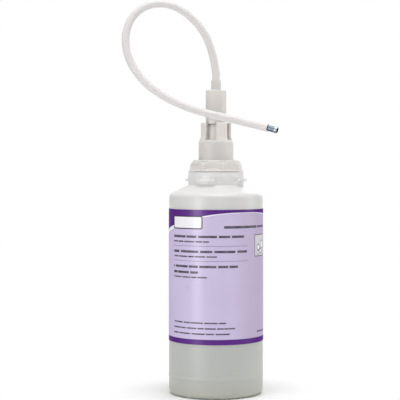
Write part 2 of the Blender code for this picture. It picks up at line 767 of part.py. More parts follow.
def build_spring():
    """A wire helix from the liquid cylinder's ledge to the liquid piston, with close end turns."""
    low = SPRING_LEDGE + SEAT_GAP + SPRING_WIRE / 2
    high = LIQUID_PISTON_LOW - SEAT_GAP - SPRING_WIRE / 2
    count = SPRING_TURNS * SPRING_POINTS_PER_TURN
    end_turn = 1.15 * SPRING_WIRE
    open_turns = SPRING_TURNS - 2
    open_rise = high - low - 2 * end_turn
    curve = bpy.data.curves.new("return_spring", "CURVE")
    curve.dimensions = "3D"
    curve.bevel_depth = SPRING_WIRE / 2
    curve.bevel_resolution = 1
    curve.use_fill_caps = True
    spline = curve.splines.new("POLY")
    spline.points.add(count)
    for index, point in enumerate(spline.points):
        turn = index / SPRING_POINTS_PER_TURN
        rise = end_turn * min(turn, 1)
        rise += open_rise * min(max(turn - 1, 0), open_turns) / open_turns
        rise += end_turn * max(turn - 1 - open_turns, 0)
        point.co = (*around(SPRING_RADIUS, 2 * pi * turn, low + rise), 1)
    spring = add_object("return_spring", curve, PARTS)
    curve.materials.append(STEEL)
    spring.parent = INSERT
    return spring


def build_liquid_piston():
    """Small piston with a lip at each end, pushed over the stem's foot."""
    waist = LIQUID_LIP_RADIUS - LIQUID_LIP
    lip = 1.6 * MM
    middle = (LIQUID_PISTON_TOP + LIQUID_PISTON_LOW) / 2
    outline = [
        (LIQUID_LIP_RADIUS - LIQUID_LIP / 2, LIQUID_PISTON_TOP),
        (LIQUID_LIP_RADIUS, LIQUID_PISTON_TOP - lip / 2),
        (waist, LIQUID_PISTON_TOP - 2 * lip),
        (waist, middle - lip),
        (LIQUID_LIP_RADIUS, LIQUID_PISTON_LOW + lip / 2),
        (LIQUID_LIP_RADIUS - LIQUID_LIP / 2, LIQUID_PISTON_LOW),
        (STEM_FOOT_BORE, LIQUID_PISTON_LOW),
        (STEM_FOOT_BORE, LIQUID_PISTON_LOW + LIQUID_PISTON_FLOOR),
        (STEM_FOOT_RADIUS + SEAT_GAP, LIQUID_PISTON_LOW + LIQUID_PISTON_FLOOR),
        (STEM_FOOT_RADIUS + SEAT_GAP, LIQUID_PISTON_TOP),
    ]
    return finish(turned("liquid_piston", outline, SIDES_FINE), CLEAR_PP, HEAD_JOINT)


def build_stem():
    """Hollow stem: wide above, where the outlet ball sits on its cone, narrow below, with a ring between."""
    ring = STEM_RADIUS + STEM_RING_REACH
    cone = STEM_RADIUS - STEM_FOOT_RADIUS
    seat = STEM_BORE - STEM_FOOT_BORE
    outline = [
        (STEM_RADIUS, STEM_TOP),
        (STEM_RADIUS, STEM_RING_TOP),
        (ring, STEM_RING_TOP),
        (ring, STEM_RING_LOW),
        (STEM_RADIUS, STEM_RING_LOW),
        (STEM_FOOT_RADIUS, STEM_RING_LOW - cone),
        (STEM_FOOT_RADIUS, STEM_LOW),
        (STEM_FOOT_BORE, STEM_LOW),
        (STEM_FOOT_BORE, STEM_RING_LOW - seat),
        (STEM_BORE, STEM_RING_LOW),
        (STEM_BORE, STEM_TOP),
    ]
    stem = turned("piston_stem", outline, SIDES_FINE)
    slots = ring_sectors(
        "stem_slots",
        STEM_BORE / 2,
        ring + STEM_WALL,
        STEM_RING_TOP + SEAT_GAP,
        FLAP_TOP,
        STEM_SLOT_WIDTH,
        PRONG_COUNT,
        0,
        chords=1,
    )
    combine(stem, slots, "DIFFERENCE")
    return finish(stem, WHITE_PP, HEAD_JOINT)


def build_air_piston():
    """Hub on the stem, web, and a cup with a sealing lip at each end."""
    cup_bore = AIR_LIP_RADIUS - AIR_LIP - AIR_CUP_WALL
    waist = AIR_LIP_RADIUS - AIR_LIP
    middle = (AIR_CUP_TOP + AIR_CUP_LOW) / 2
    outline = [
        (AIR_HUB_RADIUS, AIR_HUB_TOP),
        (AIR_HUB_RADIUS, middle + AIR_WEB / 2),
        (cup_bore, middle + AIR_WEB / 2),
        (AIR_LIP_RADIUS - AIR_LIP, AIR_CUP_TOP),
        (AIR_LIP_RADIUS, AIR_CUP_TOP),
        (waist, middle + AIR_WEB / 2),
        (waist, middle - AIR_WEB / 2),
        (AIR_LIP_RADIUS, AIR_CUP_LOW),
        (AIR_LIP_RADIUS - AIR_LIP, AIR_CUP_LOW),
        (cup_bore, middle - AIR_WEB / 2),
        (AIR_HUB_RADIUS, middle - AIR_WEB / 2),
        (AIR_HUB_RADIUS, AIR_HUB_LOW),
        (STEM_GRIP_BORE, AIR_HUB_LOW),
        (STEM_GRIP_BORE, AIR_HUB_TOP),
    ]
    return finish(turned("air_piston", outline, SIDES_SMALL), CLEAR_PP, HEAD_JOINT)


def build_air_valve():
    """Soft ring on the stem, whose flap reaches out under the air piston's web."""
    hub = STEM_GRIP_BORE + AIR_HUB_WALL
    outline = [
        (hub, FLAP_TOP),
        (hub + FLAP_REACH, FLAP_TOP + FLAP_THICKNESS),
        (hub + FLAP_REACH, FLAP_TOP),
        (hub, FLAP_LOW),
        (STEM_GRIP_BORE, FLAP_LOW),
        (STEM_GRIP_BORE, FLAP_TOP),
    ]
    return finish(turned("air_valve", outline, SIDES_SMALL), ELASTOMER, HEAD_JOINT)


def build_mesh(name, low, pitch, hole):
    """A thin moulded disc with a grid of square holes."""
    high = low + MESH_THICKNESS
    shape = bmesh.new()
    bmesh.ops.create_cone(
        shape,
        cap_ends=True,
        segments=SIDES_FINE,
        radius1=FOAMER_RADIUS,
        radius2=FOAMER_RADIUS,
        depth=MESH_THICKNESS,
        matrix=Matrix.Translation((0, 0, (low + high) / 2)),
    )
    mesh = bpy.data.meshes.new(name)
    shape.to_mesh(mesh)
    shape.free()
    disc = add_object(name, mesh, PARTS)
    reach = FOAMER_RADIUS - HOLDER_WALL
    posts = grid_of_posts(name + "_holes", pitch, hole, reach, low - hole, high + hole)
    combine(disc, posts, "DIFFERENCE")
    return finish(disc, CLEAR_PP, HEAD_JOINT)


def build_mesh_holder():
    inner = FOAMER_RADIUS - HOLDER_WALL
    outline = [
        (FOAMER_RADIUS, HOLDER_TOP),
        (FOAMER_RADIUS, HOLDER_LOW),
        (inner, HOLDER_LOW),
        (inner, HOLDER_TOP),
    ]
    return finish(turned("mesh_holder", outline, SIDES_FINE), CLEAR_PP, HEAD_JOINT)


def build_head():
    """The pressed head: skirt over the chimney, chamber for stem and foamer, and the tube's socket on top."""
    outline = rounded(
        [
            (SOCKET_RADIUS, SOCKET_TOP, 0.25 * MM),
            (SOCKET_RADIUS, HEAD_TOP, 0.5 * MM),
            (HEAD_RADIUS, HEAD_TOP, HEAD_ROUNDING),
            (HEAD_RADIUS, HEAD_LOW, 0.3 * MM),
            (SKIRT_BORE, HEAD_LOW, 0),
            (SKIRT_BORE, SKIRT_CEILING, 0),
            (STEM_GRIP_BORE, SKIRT_CEILING, 0),
            (STEM_GRIP_BORE, FOAMER_CEILING, 0),
            (OUTLET_BORE, FOAMER_CEILING, 0),
            (OUTLET_BORE, HEAD_TOP, 0),
            (TUBE_SOCKET_BORE, HEAD_TOP, 0),
            (TUBE_SOCKET_BORE, SOCKET_TOP, 0),
        ]
    )
    return finish(turned("pump_head", outline, SIDES_MEDIUM), WHITE_PP, HEAD_JOINT)


def route_points():
    """The tube's route in place: from the socket's floor, out of its mouth and along the listed points."""
    mouth = Vector((0, 0, SOCKET_TOP))
    start = [Vector((0, 0, HEAD_TOP + SEAT_GAP))]
    return start + [mouth + Vector(point) * MM for point in TUBE_ROUTE]


def curve_through(points, share):
    """The place at a share of the way along a smooth curve through the points."""
    last = len(points) - 1
    place = min(share * last, last - 1e-9)
    index = int(place)
    t = place - index
    p1 = points[index]
    p2 = points[index + 1]
    p0 = points[index - 1] if index else 2 * p1 - p2
    p3 = points[index + 2] if index + 2 <= last else 2 * p2 - p1
    bend = 2 * p0 - 5 * p1 + 4 * p2 - p3
    twist = 3 * p1 - p0 - 3 * p2 + p3
    return 0.5 * (2 * p1 + (p2 - p0) * t + bend * t * t + twist * t**3)


def build_delivery_tube():
    points = route_points()
    curve = bpy.data.curves.new("delivery_tube", "CURVE")
    curve.dimensions = "3D"
    curve.bevel_depth = TUBE_RADIUS
    curve.bevel_resolution = 2
    curve.use_fill_caps = True
    spline = curve.splines.new("POLY")
    spline.points.add(TUBE_POINTS - 1)
    for index, point in enumerate(spline.points):
        point.co = (*curve_through(points, index / (TUBE_POINTS - 1)), 1)
    tube = add_object("delivery_tube", curve, PARTS)
    curve.materials.append(TUBE_PE)
    tube.parent = HEAD_JOINT
    return tube


def build_tube_tip():
    """Metal ferrule on the tube's end, open in front, with a rolled groove near its mouth."""
    points = route_points()
    end = points[-1]
    ahead = (curve_through(points, 1) - curve_through(points, 0.995)).normalized()
    groove = TIP_LENGTH - TIP_GROOVE_PLACE
    outline = rounded(
        [
            (TIP_RADIUS, TIP_LENGTH, 0.4 * MM),
            (TIP_RADIUS, groove + 2 * TIP_GROOVE_DEPTH, 0),
            (TIP_RADIUS - TIP_GROOVE_DEPTH, groove, 0),
            (TIP_RADIUS, groove - 2 * TIP_GROOVE_DEPTH, 0),
            (TIP_RADIUS, 0, 0.2 * MM),
            (TIP_BORE, 0, 0),
            (TIP_BORE, TIP_LENGTH, 0.2 * MM),
        ]
    )
    tip = finish(turned("tube_tip", outline, SIDES_SMALL), FERRULE, HEAD_JOINT)
    tip.location = end + ahead * SEAT_GAP
    tip.rotation_euler = ahead.to_track_quat("Z", "Y").to_euler()
    return tip


for old in list(bpy.data.objects):
    bpy.data.objects.remove(old, do_unlink=True)

PARTS = make_collection("hand_soap_refill_pack")
CUTTERS = make_collection("cutters")
INSERT = add_object("pump_insert_lift", None, PARTS)
CAP_JOINT = add_object("cap_turn_axis", None, PARTS)
CAP_JOINT.parent = INSERT
HEAD_JOINT = add_object("head_stroke_axis", None, PARTS)
HEAD_JOINT.parent = INSERT

HDPE = make_material("translucent_hdpe", linear(214, 216, 212), 0.35, transmission=0.35)
SOAP = make_material("soap", linear(176, 180, 170), 0.15, transmission=0.5)
WHITE_PP = make_material("white_moulding", linear(236, 233, 230), 0.38)
CLEAR_PP = make_material("natural_moulding", linear(222, 222, 218), 0.3)
TUBE_PE = make_material("tube_plastic", linear(234, 229, 229), 0.32)
ELASTOMER = make_material("elastomer", linear(196, 196, 198), 0.6)
STEEL = make_material("stainless_wire", linear(188, 190, 194), 0.25, metallic=1.0)
FERRULE = make_material("ferrule_steel", linear(150, 154, 162), 0.3, metallic=1.0)
LILAC_FILM = make_material("lilac_print", linear(200, 188, 222), 0.4)
PURPLE_FILM = make_material("purple_print", linear(88, 30, 140), 0.4)
WHITE_FILM = make_material("white_print", linear(240, 238, 244), 0.4)

build_bottle()
build_label()
build_soap()
build_gasket()
build_cap()
build_collar()
build_cylinder()
build_ball("inlet_ball", INLET_BALL_RADIUS, VALVE_BORE, VALVE_LOW, INSERT)
build_dip_tube()
build_spring()
build_liquid_piston()
build_stem()
outlet_seat = STEM_RING_LOW - (STEM_BORE - STEM_FOOT_BORE)
build_ball("outlet_ball", OUTLET_BALL_RADIUS, STEM_FOOT_BORE, outlet_seat, HEAD_JOINT)
build_air_piston()
build_air_valve()
build_mesh("coarse_mesh", COARSE_MESH_LOW, COARSE_PITCH, COARSE_HOLE)
build_mesh_holder()
build_mesh("fine_mesh", FINE_MESH_LOW, FINE_PITCH, FINE_HOLE)
build_head()
build_delivery_tube()
build_tube_tip()
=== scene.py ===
"""Looks of the hand soap refill pack: a translucent bottle with a printed film label, a screw cap,
a castellated pump collar, the foam pump inside and its stiff delivery tube.

Run as a script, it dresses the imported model. Metres, +Z up, the front faces -Y, and angles round the pack
are measured from the front towards +X."""

from math import cos, pi, radians, sin, tan

import bmesh
import bpy
from bpy.props import FloatProperty, FloatVectorProperty, IntProperty, PointerProperty
from mathutils import Matrix, Vector


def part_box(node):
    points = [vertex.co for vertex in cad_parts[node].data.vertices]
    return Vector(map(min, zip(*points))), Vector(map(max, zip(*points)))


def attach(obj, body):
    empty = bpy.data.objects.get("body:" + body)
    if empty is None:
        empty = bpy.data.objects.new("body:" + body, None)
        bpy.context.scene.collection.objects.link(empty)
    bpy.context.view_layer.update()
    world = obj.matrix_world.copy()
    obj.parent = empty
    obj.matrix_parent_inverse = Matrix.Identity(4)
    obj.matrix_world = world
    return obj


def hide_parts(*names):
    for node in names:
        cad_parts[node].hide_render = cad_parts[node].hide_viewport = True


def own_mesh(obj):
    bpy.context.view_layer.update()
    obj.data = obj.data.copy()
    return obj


bl_info = {
    "name": "Soap Refill Pack",
    "version": (1, 0, 0),
    "blender": (4, 5, 0),
    "location": "View3D > Sidebar > Soap Pack",
    "description": "Builds the looks of a foam soap refill pack around its packed model",
    "category": "Add Mesh",
}

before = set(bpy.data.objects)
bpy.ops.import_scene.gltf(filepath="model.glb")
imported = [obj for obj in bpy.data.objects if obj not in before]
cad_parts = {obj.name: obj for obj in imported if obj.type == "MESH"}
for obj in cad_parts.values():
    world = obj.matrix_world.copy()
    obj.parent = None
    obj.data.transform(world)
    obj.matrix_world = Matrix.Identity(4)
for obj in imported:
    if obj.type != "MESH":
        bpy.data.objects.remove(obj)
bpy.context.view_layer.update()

MM = 0.001
UP = Vector((0, 0, 1))
# Room between pieces that lie against each other, and between pieces that run over each other
GAP = 0.3 * MM
SLACK = 0.4 * MM
# How far a cutting shape reaches past what it cuts
PAST = 2 * MM
PRINT_EDGE = 0.05 * MM
CAP_FLATS = 8
LUGS = 4
PRONGS = 4

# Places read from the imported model
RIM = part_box("bottle")[1].z
LABEL_LOW, LABEL_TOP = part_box("label")[0].z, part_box("label")[1].z
SOAP_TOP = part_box("liquid_soap")[1].z
CAP_LOW, CAP_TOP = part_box("screw_cap")[0].z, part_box("screw_cap")[1].z
COLLAR_LOW, PRONG_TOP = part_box("pump_collar")[0].z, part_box("pump_collar")[1].z
HEAD_LOW, SOCKET_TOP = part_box("pump_head")[0].z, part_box("pump_head")[1].z
SPIGOT_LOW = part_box("pump_cylinder")[0].z
DIP_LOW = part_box("dip_tube")[0].z
SPRING_LOW, SPRING_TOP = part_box("return_spring")[0].z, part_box("return_spring")[1].z

# The delivery tube's depth in its socket, and its route in millimetres from the socket's mouth
TUBE_DEPTH = 8.2 * MM
TUBE_ROUTE = [
    (0, 0, 0), (0, 0, 6), (-1, -1, 12.5), (-2.5, -2, 20.5), (-4.7, -3, 28), (-8, -4.5, 36.5),
    (-13, -6, 44.5), (-19.5, -7.5, 52), (-27.8, -9, 58.8), (-37, -10.5, 63.4), (-46.9, -12, 65.3),
    (-56.6, -13.5, 64), (-64.8, -15, 60), (-71, -16.5, 53.8), (-75.2, -18, 46), (-77.1, -19.3, 36.8),
    (-76.8, -20.5, 27.3), (-74.5, -21.5, 18.2), (-70.3, -22.5, 9.6), (-64.5, -23.3, 1.5),
    (-57, -24, -6.2), (-47.6, -24.7, -13), (-37.2, -25.5, -18.9), (-25.5, -26.5, -24),
    (-12.7, -27.8, -28.3), (0.4, -29.3, -31.7), (13.5, -31.2, -34.7), (27, -34.2, -38.1),
    (42, -39.6, -42),
]


def length(name, description, millimetres):
    return FloatProperty(
        name=name, description=description, default=millimetres * MM, unit="LENGTH", subtype="DISTANCE",
        precision=5,
    )


def share(name, description, default, highest=1.0):
    return FloatProperty(name=name, description=description, default=default, min=0.0, max=highest)


def count(name, description, default):
    return IntProperty(name=name, description=description, default=default, min=3)


def angle(name, description, default):
    return FloatProperty(name=name, description=description, default=radians(default), subtype="ANGLE")


def colour(name, description, red, green, blue):
    """A colour read on screen, 0 to 255, kept as Blender's linear values."""
    return FloatVectorProperty(
        name=name, description=description, default=linear(red, green, blue), subtype="COLOR", size=4
    )


def linear(red, green, blue):
    def channel(value):
        part = value / 255
        return part / 12.92 if part <= 0.04045 else ((part + 0.055) / 1.055) ** 2.4

    return channel(red), channel(green), channel(blue), 1.0


class BottleSettings(bpy.types.PropertyGroup):
    radius: length("Radius", "Outer radius of the body", 40.6)
    wall: length("Wall", "Thickness of the blown wall", 1.0)
    shoulder_foot: length("Shoulder foot", "Height at which the shoulder starts", 172.4)
    shoulder_slope: angle("Shoulder slope", "Slope of the shoulder", 24.6)
    band_radius: length("Band radius", "Outer radius of the neck band", 23.8)
    band_bulge: length("Band bulge", "How far the band swells at its middle", 0.35)
    band_height: length("Band height", "Height of the neck band", 11.4)
    finish_radius: length("Finish radius", "Outer radius of the threaded neck", 19.2)
    finish_wall: length("Finish wall", "Wall of the threaded neck", 2.2)
    foot_radius: length("Foot radius", "Inner radius of the ring that the bottle stands on", 30.5)
    push_up: length("Push-up", "Height of the base's middle", 3.0)
    panel_gap: length("Panel gap", "From the label panel's lower edge up to the label", 3.9)
    panel_step: length("Panel step", "How far the wall steps out below the label panel", 0.12)
    rib_height: length("Rib height", "Height of the grip rib's middle", 16.4)
    rib_reach: length("Rib reach", "How far the grip rib stands out", 0.3)
    lug_turn: angle("Lug turn", "Angle of the first neck lug from the front", -22)
    lug_width: angle("Lug width", "Angle that a lug takes up", 40)
    lug_reach: length("Lug reach", "How far the lugs stand out of the band", 3.1)
    lug_rise: length("Lug rise", "From the band's foot up to the lugs", 3.6)
    lug_height: length("Lug height", "Thickness of the lugs", 2.0)
    sides: count("Sides", "Steps in one turn of the bottle", 160)
    air_colour: colour("Air colour", "The wall with air behind it", 231, 229, 228)
    soap_colour: colour("Soap colour", "The wall with soap behind it", 187, 189, 185)
    soap_tint: colour("Soap", "The clear filling", 206, 212, 204)


class LabelSettings(bpy.types.PropertyGroup):
    radius: length("Radius", "Inner radius of the film", 40.9)
    thickness: length("Thickness", "Thickness of the film", 0.12)
    seam: angle("Seam", "Angle at which the film starts", 153)
    lap: angle("Lap", "Angle by which the film laps over its start", 9)
    lap_lift: length("Lap lift", "How far the lap stands off", 0.42)
    stripe: length("Stripe", "Height of the stripe along the bottom", 4.5)
    base_colour: colour("Lilac", "The label's ground", 205, 193, 225)
    band_colour: colour("Purple", "The wave and the stripe", 82, 13, 125)
    line_colour: colour("White", "The line under the wave", 246, 244, 249)
    ink_colour: colour("Ink", "Bars that stand for text", 46, 38, 54)
    rule_colour: colour("Rule", "Thin rules between the text bars", 112, 94, 132)
    box_colour: colour("Box", "Ground of the small picture", 216, 214, 219)
    sides: count("Sides", "Steps round the label", 180)


class PumpSettings(bpy.types.PropertyGroup):
    collar_radius: length("Collar radius", "Outer radius of the collar's body", 15.1)
    collar_wall: length("Collar wall", "Wall of the collar's body", 1.2)
    collar_height: length("Collar height", "From the collar's flange up to its conical shoulder", 17.1)
    cone_height: length("Cone height", "Height of the collar's conical shoulder", 4.7)
    flange_height: length("Flange height", "Thickness of the collar's flange", 1.2)
    prong_radius: length("Prong radius", "Outer radius of the four prongs", 13.2)
    prong_wall: length("Prong wall", "Thickness of the prongs", 1.7)
    prong_width: angle("Prong width", "Angle that a prong takes up", 45)
    chimney_radius: length("Chimney radius", "Outer radius of the inner chimney", 7.3)
    chimney_bore: length("Chimney bore", "Bore that guides the stem", 5.5)
    chimney_height: length("Chimney height", "From the collar's floor up to the chimney's mouth", 14.3)
    cap_corner: length("Cap corner", "Radius of the cap's corners at the bottom", 23.9)
    cap_corner_top: length("Cap top corner", "Radius of the cap's corners at the top", 22.5)
    cap_turn: angle("Cap turn", "Angle of the cap's first corner", 15.5)
    cap_rim: length("Cap rim", "Radius of the cap's flat top", 19.4)
    cap_fall: length("Cap fall", "Height of the slope round the cap's top", 3.6)
    cap_flange: length("Cap flange", "Radius of the round flange under the flats", 24.0)
    cap_plate: length("Cap plate", "Thickness of the cap's top", 1.5)
    notch_depth: length("Notch depth", "Depth of the notches at the cap's corners", 1.7)
    notch_width: angle("Notch width", "Angle that a notch takes up", 15)
    head_radius: length("Head radius", "Outer radius of the pump head", 8.95)
    head_plate: length("Head plate", "Thickness of the head's top", 2.3)
    skirt_height: length("Skirt height", "Depth of the space for the chimney", 13.5)
    stem_grip: length("Stem grip", "Radius of the head's bore over the stem", 5.4)
    outlet_bore: length("Outlet bore", "Radius of the passage to the tube", 2.2)
    socket_radius: length("Socket radius", "Outer radius of the tube's socket", 4.25)
    socket_height: length("Socket height", "Height of the tube's socket", 8.5)
    spring_radius: length("Spring radius", "From the spring's axis to the middle of its wire", 4.2)
    spring_wire: length("Spring wire", "Thickness of the spring's wire", 0.9)
    spring_turns: count("Spring turns", "Turns of the spring, with its two close end turns", 7)
    stroke: length("Stroke", "How far the head goes down", 12)
    sides: count("Sides", "Steps in one turn of the pump's pieces", 96)
    white: colour("Moulding", "The cap, collar and head", 220, 215, 211)
    natural: colour("Natural", "Uncoloured inner mouldings", 224, 223, 218)
    elastomer: colour("Elastomer", "Gasket and valve", 196, 196, 198)
    steel: colour("Steel", "Spring and check balls", 192, 194, 198)


class TubeSettings(bpy.types.PropertyGroup):
    radius: length("Radius", "Outer radius of the tube", 3.3)
    wall: length("Wall", "Wall of the tube", 1.3)
    full_length: length("Length", "Real length of the tube", 302)
    points: count("Points", "Points along the tube", 220)
    tip_radius: length("Tip radius", "Outer radius of the ferrule", 2.8)
    tip_bore: length("Tip bore", "Radius of the ferrule's bore", 2.1)
    tip_length: length("Tip length", "Length of the ferrule", 10)
    lip_length: length("Lip length", "Length of the thicker ring at the ferrule's mouth", 2.6)
    lip_step: length("Lip step", "How far that ring stands out", 0.25)
    spigot_length: length("Spigot length", "How far the ferrule goes into the tube", 3.5)
    gap: length("Gap", "Gap between the tube's end and the ferrule", 0.3)
    overlap: length("Overlap", "How far the tube's end reaches over the ferrule", 1.5)
    plastic: colour("Plastic", "The tube", 222, 218, 217)
    metal: colour("Metal", "The ferrule", 100, 110, 118)
    # Painted highlight: the ring at the ferrule's mouth is painted lighter than the same steel on the rest
    # of the ferrule; its slightly smoother finish is its own
    lip: colour("Lip", "The polished ring at the ferrule's mouth", 150, 155, 158)
    # Painted shade: the bore's colour is dark because the inside of the ferrule gets no light
    bore: colour("Bore", "The dull inside of the ferrule", 34, 38, 32)


class StageSettings(bpy.types.PropertyGroup):
    distance: length("Distance", "From the pack's axis to the camera", 1137.8)
    eye_height: length("Eye height", "Height of the camera", 198.3)
    lens: FloatProperty(name="Lens", description="Focal length", default=117.8, unit="CAMERA")
    shift_right: FloatProperty(name="Shift right", description="The frame's shift across", default=-0.04)
    shift_up: FloatProperty(name="Shift up", description="The frame's shift upwards", default=-0.09)
    floor_reach: length("Floor reach", "Half the floor's width", 4000)
    ambient: share("Ambient", "Strength of the even light from all round", 0.22, 4.0)
    key: share("Key", "Power of the low softbox at the front left, in watts", 2.0, 100.0)
    strip: share("Strip", "Power of the narrow lamp that gives the long highlight, in watts", 0.62, 100.0)
    right: share("Right", "Power of the softbox at the right, in watts", 4.4, 100.0)
    front: share("Front", "Power of the softbox in front, in watts", 1.0, 100.0)
    back: share("Back", "Power of the softbox behind, in watts", 2.8, 100.0)
    top: share("Top", "Power of the softbox overhead, in watts", 12.5, 100.0)


# Shapes

def around(radius, turn, height):
    """A point at an angle from the front."""
    return Vector((radius * sin(turn), -radius * cos(turn), height))


def rounded(corners, chord=0.35):
    """The outline through (radius, height, rounding) corners, each rounding an arc of short chords. The
    roundings and the chord are in millimetres."""
    outline = []
    for index, (radius, height, rounding) in enumerate(corners):
        corner = Vector((radius, height))
        if not rounding:
            outline.append(corner)
            continue
        before = Vector(corners[index - 1][:2]) - corner
        after = Vector(corners[(index + 1) % len(corners)][:2]) - corner
        half = before.angle(after) / 2
        reach = min(rounding * MM / tan(half), 0.48 * before.length, 0.48 * after.length)
        centre = corner + (before.normalized() + after.normalized()).normalized() * reach / cos(half)
        first = corner + before.normalized() * reach - centre
        last = corner + after.normalized() * reach - centre
        sweep = first.angle(last)
        chords = max(3, min(14, round(rounding * sweep / chord)))
        for step in range(chords + 1):
            part = step / chords
            arm = (first * sin((1 - part) * sweep) + last * sin(part * sweep)) / sin(sweep)
            outline.append(centre + arm)
    return outline


def spin(shape, geom, sweep, steps, merge):
    """Turns geometry of a bmesh round Z."""
    bmesh.ops.spin(
        shape, geom=geom, cent=(0, 0, 0), axis=UP, dvec=(0, 0, 0), angle=sweep, steps=steps,
        use_merge=merge,
    )


def turned(outline, sides, closed=True):
    """A bmesh with the outline of (radius, height) points turned round Z."""
    shape = bmesh.new()
    ring = [shape.verts.new((radius, 0, height)) for radius, height in outline]
    pairs = list(zip(ring, ring[1:]))
    if closed:
        pairs.append((ring[-1], ring[0]))
    edges = [shape.edges.new(pair) for pair in pairs]
    spin(shape, ring + edges, 2 * pi, sides, True)
    bmesh.ops.remove_doubles(shape, verts=shape.verts, dist=0.002 * MM)
    bmesh.ops.recalc_face_normals(shape, faces=shape.faces)
    return shape


def sectors(inner, outer, low, high, width, number, first, chords):
    """A bmesh of blocks between two radii and two heights, spaced round the axis."""
    shape = bmesh.new()
    for index in range(number):
        middle = first + 2 * pi * index / number
        turns = [middle + width * (step / chords - 0.5) for step in range(chords + 1)]
        corners = [around(outer, turn, low) for turn in turns]
        corners += [around(inner, turn, low) for turn in reversed(turns)]
        face = shape.faces.new([shape.verts.new(corner) for corner in corners])
        grown = bmesh.ops.extrude_face_region(shape, geom=[face])
        raised = [item for item in grown["geom"] if isinstance(item, bmesh.types.BMVert)]
        bmesh.ops.translate(shape, verts=raised, vec=(0, 0, high - low))
    bmesh.ops.recalc_face_normals(shape, faces=shape.faces)
    return shape


def round_corners(shape, edges, radius):
    bmesh.ops.bevel(
        shape, geom=edges, offset=radius, offset_type="OFFSET", segments=4, profile=0.5,
        affect="EDGES", material=-1,
    )


def adjust(item, **settings):
    for key, value in settings.items():
        setattr(item, key, value)
    return item


def add_object(name, data):
    obj = bpy.data.objects.new(name, data)
    bpy.context.scene.collection.objects.link(obj)
    return obj


def as_object(name, shape):
    mesh = bpy.data.meshes.new(name)
    shape.to_mesh(mesh)
    shape.free()
    return add_object(name, mesh)


def shown_mesh(obj):
    """The object's shape with its modifiers, as a new mesh."""
    graph = bpy.context.evaluated_depsgraph_get()
    return bpy.data.meshes.new_from_object(obj.evaluated_get(graph))


def swept(name, path, radius, rounds, capped=False):
    """A round rod along a path of points."""
    line = bpy.data.curves.new(name, "CURVE")
    adjust(line, dimensions="3D", bevel_depth=radius, bevel_resolution=rounds, use_fill_caps=capped)
    spline = line.splines.new("POLY")
    spline.points.add(len(path) - 1)
    for point, place in zip(spline.points, path):
        point.co = (*place, 1)
    rod = add_object(name, line)
    mesh = shown_mesh(rod)
    bpy.data.objects.remove(rod, do_unlink=True)
    return add_object(name, mesh)


def reshape(obj, kind, **settings):
    """Runs one modifier on a piece for good."""
    adjust(obj.modifiers.new(kind, kind), **settings)
    mesh = shown_mesh(obj)
    obj.modifiers.clear()
    obj.data = mesh


def combine(obj, shape, operation):
    """Joins a shape to a piece, or cuts it away."""
    other = as_object("helper", shape)
    reshape(obj, "BOOLEAN", operation=operation, solver="EXACT", object=other)
    bpy.data.objects.remove(other, do_unlink=True)


def soften(obj, width, limit):
    """Rounds a piece's hard edges a little, as a mould does."""
    edges = {"limit_method": "ANGLE", "angle_limit": radians(limit), "use_clamp_overlap": True}
    reshape(obj, "BEVEL", width=width, segments=2, **edges)


def finish_piece(obj, material, body, nodes=(), smooth=32):
    obj.data.materials.append(material)
    obj.data.shade_smooth()
    obj.data.set_sharp_from_angle(angle=radians(smooth))
    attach(obj, body)
    if nodes:
        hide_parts(*nodes)
    return obj


# Shader nodes

def feed(tree, node, inputs):
    """Sets a node's inputs to values, or joins them to other nodes' outputs."""
    for key, value in inputs.items():
        if isinstance(value, bpy.types.NodeSocket):
            tree.links.new(value, node.inputs[key])
        else:
            node.inputs[key].default_value = value
    return node


def add_node(tree, kind, inputs=None, **settings):
    return feed(tree, adjust(tree.nodes.new(kind), **settings), inputs or {})


def maths(tree, operation, first, second=0.0, third=0.0):
    node = add_node(tree, "ShaderNodeMath", {0: first, 1: second, 2: third}, operation=operation)
    return node.outputs[0]


def vector_maths(tree, operation, first, second=(0, 0, 0)):
    outputs = add_node(tree, "ShaderNodeVectorMath", {0: first, 1: second}, operation=operation).outputs
    return outputs["Value" if operation in ("LENGTH", "DISTANCE") else "Vector"]


def ramp(tree, value, low, high, to_low=0.0, to_high=1.0):
    """The value's place between two bounds, smoothed."""
    bounds = {"Value": value, "From Min": low, "From Max": high, "To Min": to_low, "To Max": to_high}
    node = add_node(tree, "ShaderNodeMapRange", bounds, interpolation_type="SMOOTHSTEP")
    return node.outputs["Result"]


def blend_colours(tree, mask, first, second):
    """The first colour where the mask is 0, and the second where it is 1."""
    return add_node(tree, "ShaderNodeMix", {0: mask, 6: first, 7: second}, data_type="RGBA").outputs[2]


def inside_edge(tree, distance, edge):
    """1 on the near side of a printed edge, and 0 beyond it."""
    return ramp(tree, maths(tree, "SUBTRACT", distance, edge), PRINT_EDGE, -PRINT_EDGE)


def object_place(tree):
    return tree.nodes.new("ShaderNodeTexCoord").outputs["Object"]


def split(tree, place):
    return add_node(tree, "ShaderNodeSeparateXYZ", {0: place}).outputs


def noise(tree, place, scale, detail=2.0, stretch=(1, 1, 1)):
    """Smooth noise, 0 to 1, of features about 1 / scale metres across."""
    mapped = add_node(tree, "ShaderNodeMapping", {"Vector": place, "Scale": stretch}).outputs["Vector"]
    look = {"Vector": mapped, "Scale": scale, "Detail": detail}
    return add_node(tree, "ShaderNodeTexNoise", look).outputs["Fac"]


def new_group(name, inputs, outputs):
    """An empty shader group with its sockets, and its input and output nodes."""
    tree = bpy.data.node_groups.new(name, "ShaderNodeTree")
    for label, default in inputs.items():
        kind = "Float" if isinstance(default, float) else "Vector" if len(default) == 3 else "Color"
        socket = tree.interface.new_socket(label, in_out="INPUT", socket_type=f"NodeSocket{kind}")
        socket.default_value = default
    for label in outputs:
        kind = "Color" if label == "Colour" else "Float"
        tree.interface.new_socket(label, in_out="OUTPUT", socket_type=f"NodeSocket{kind}")
    return tree, tree.nodes.new("NodeGroupInput").outputs, tree.nodes.new("NodeGroupOutput").inputs


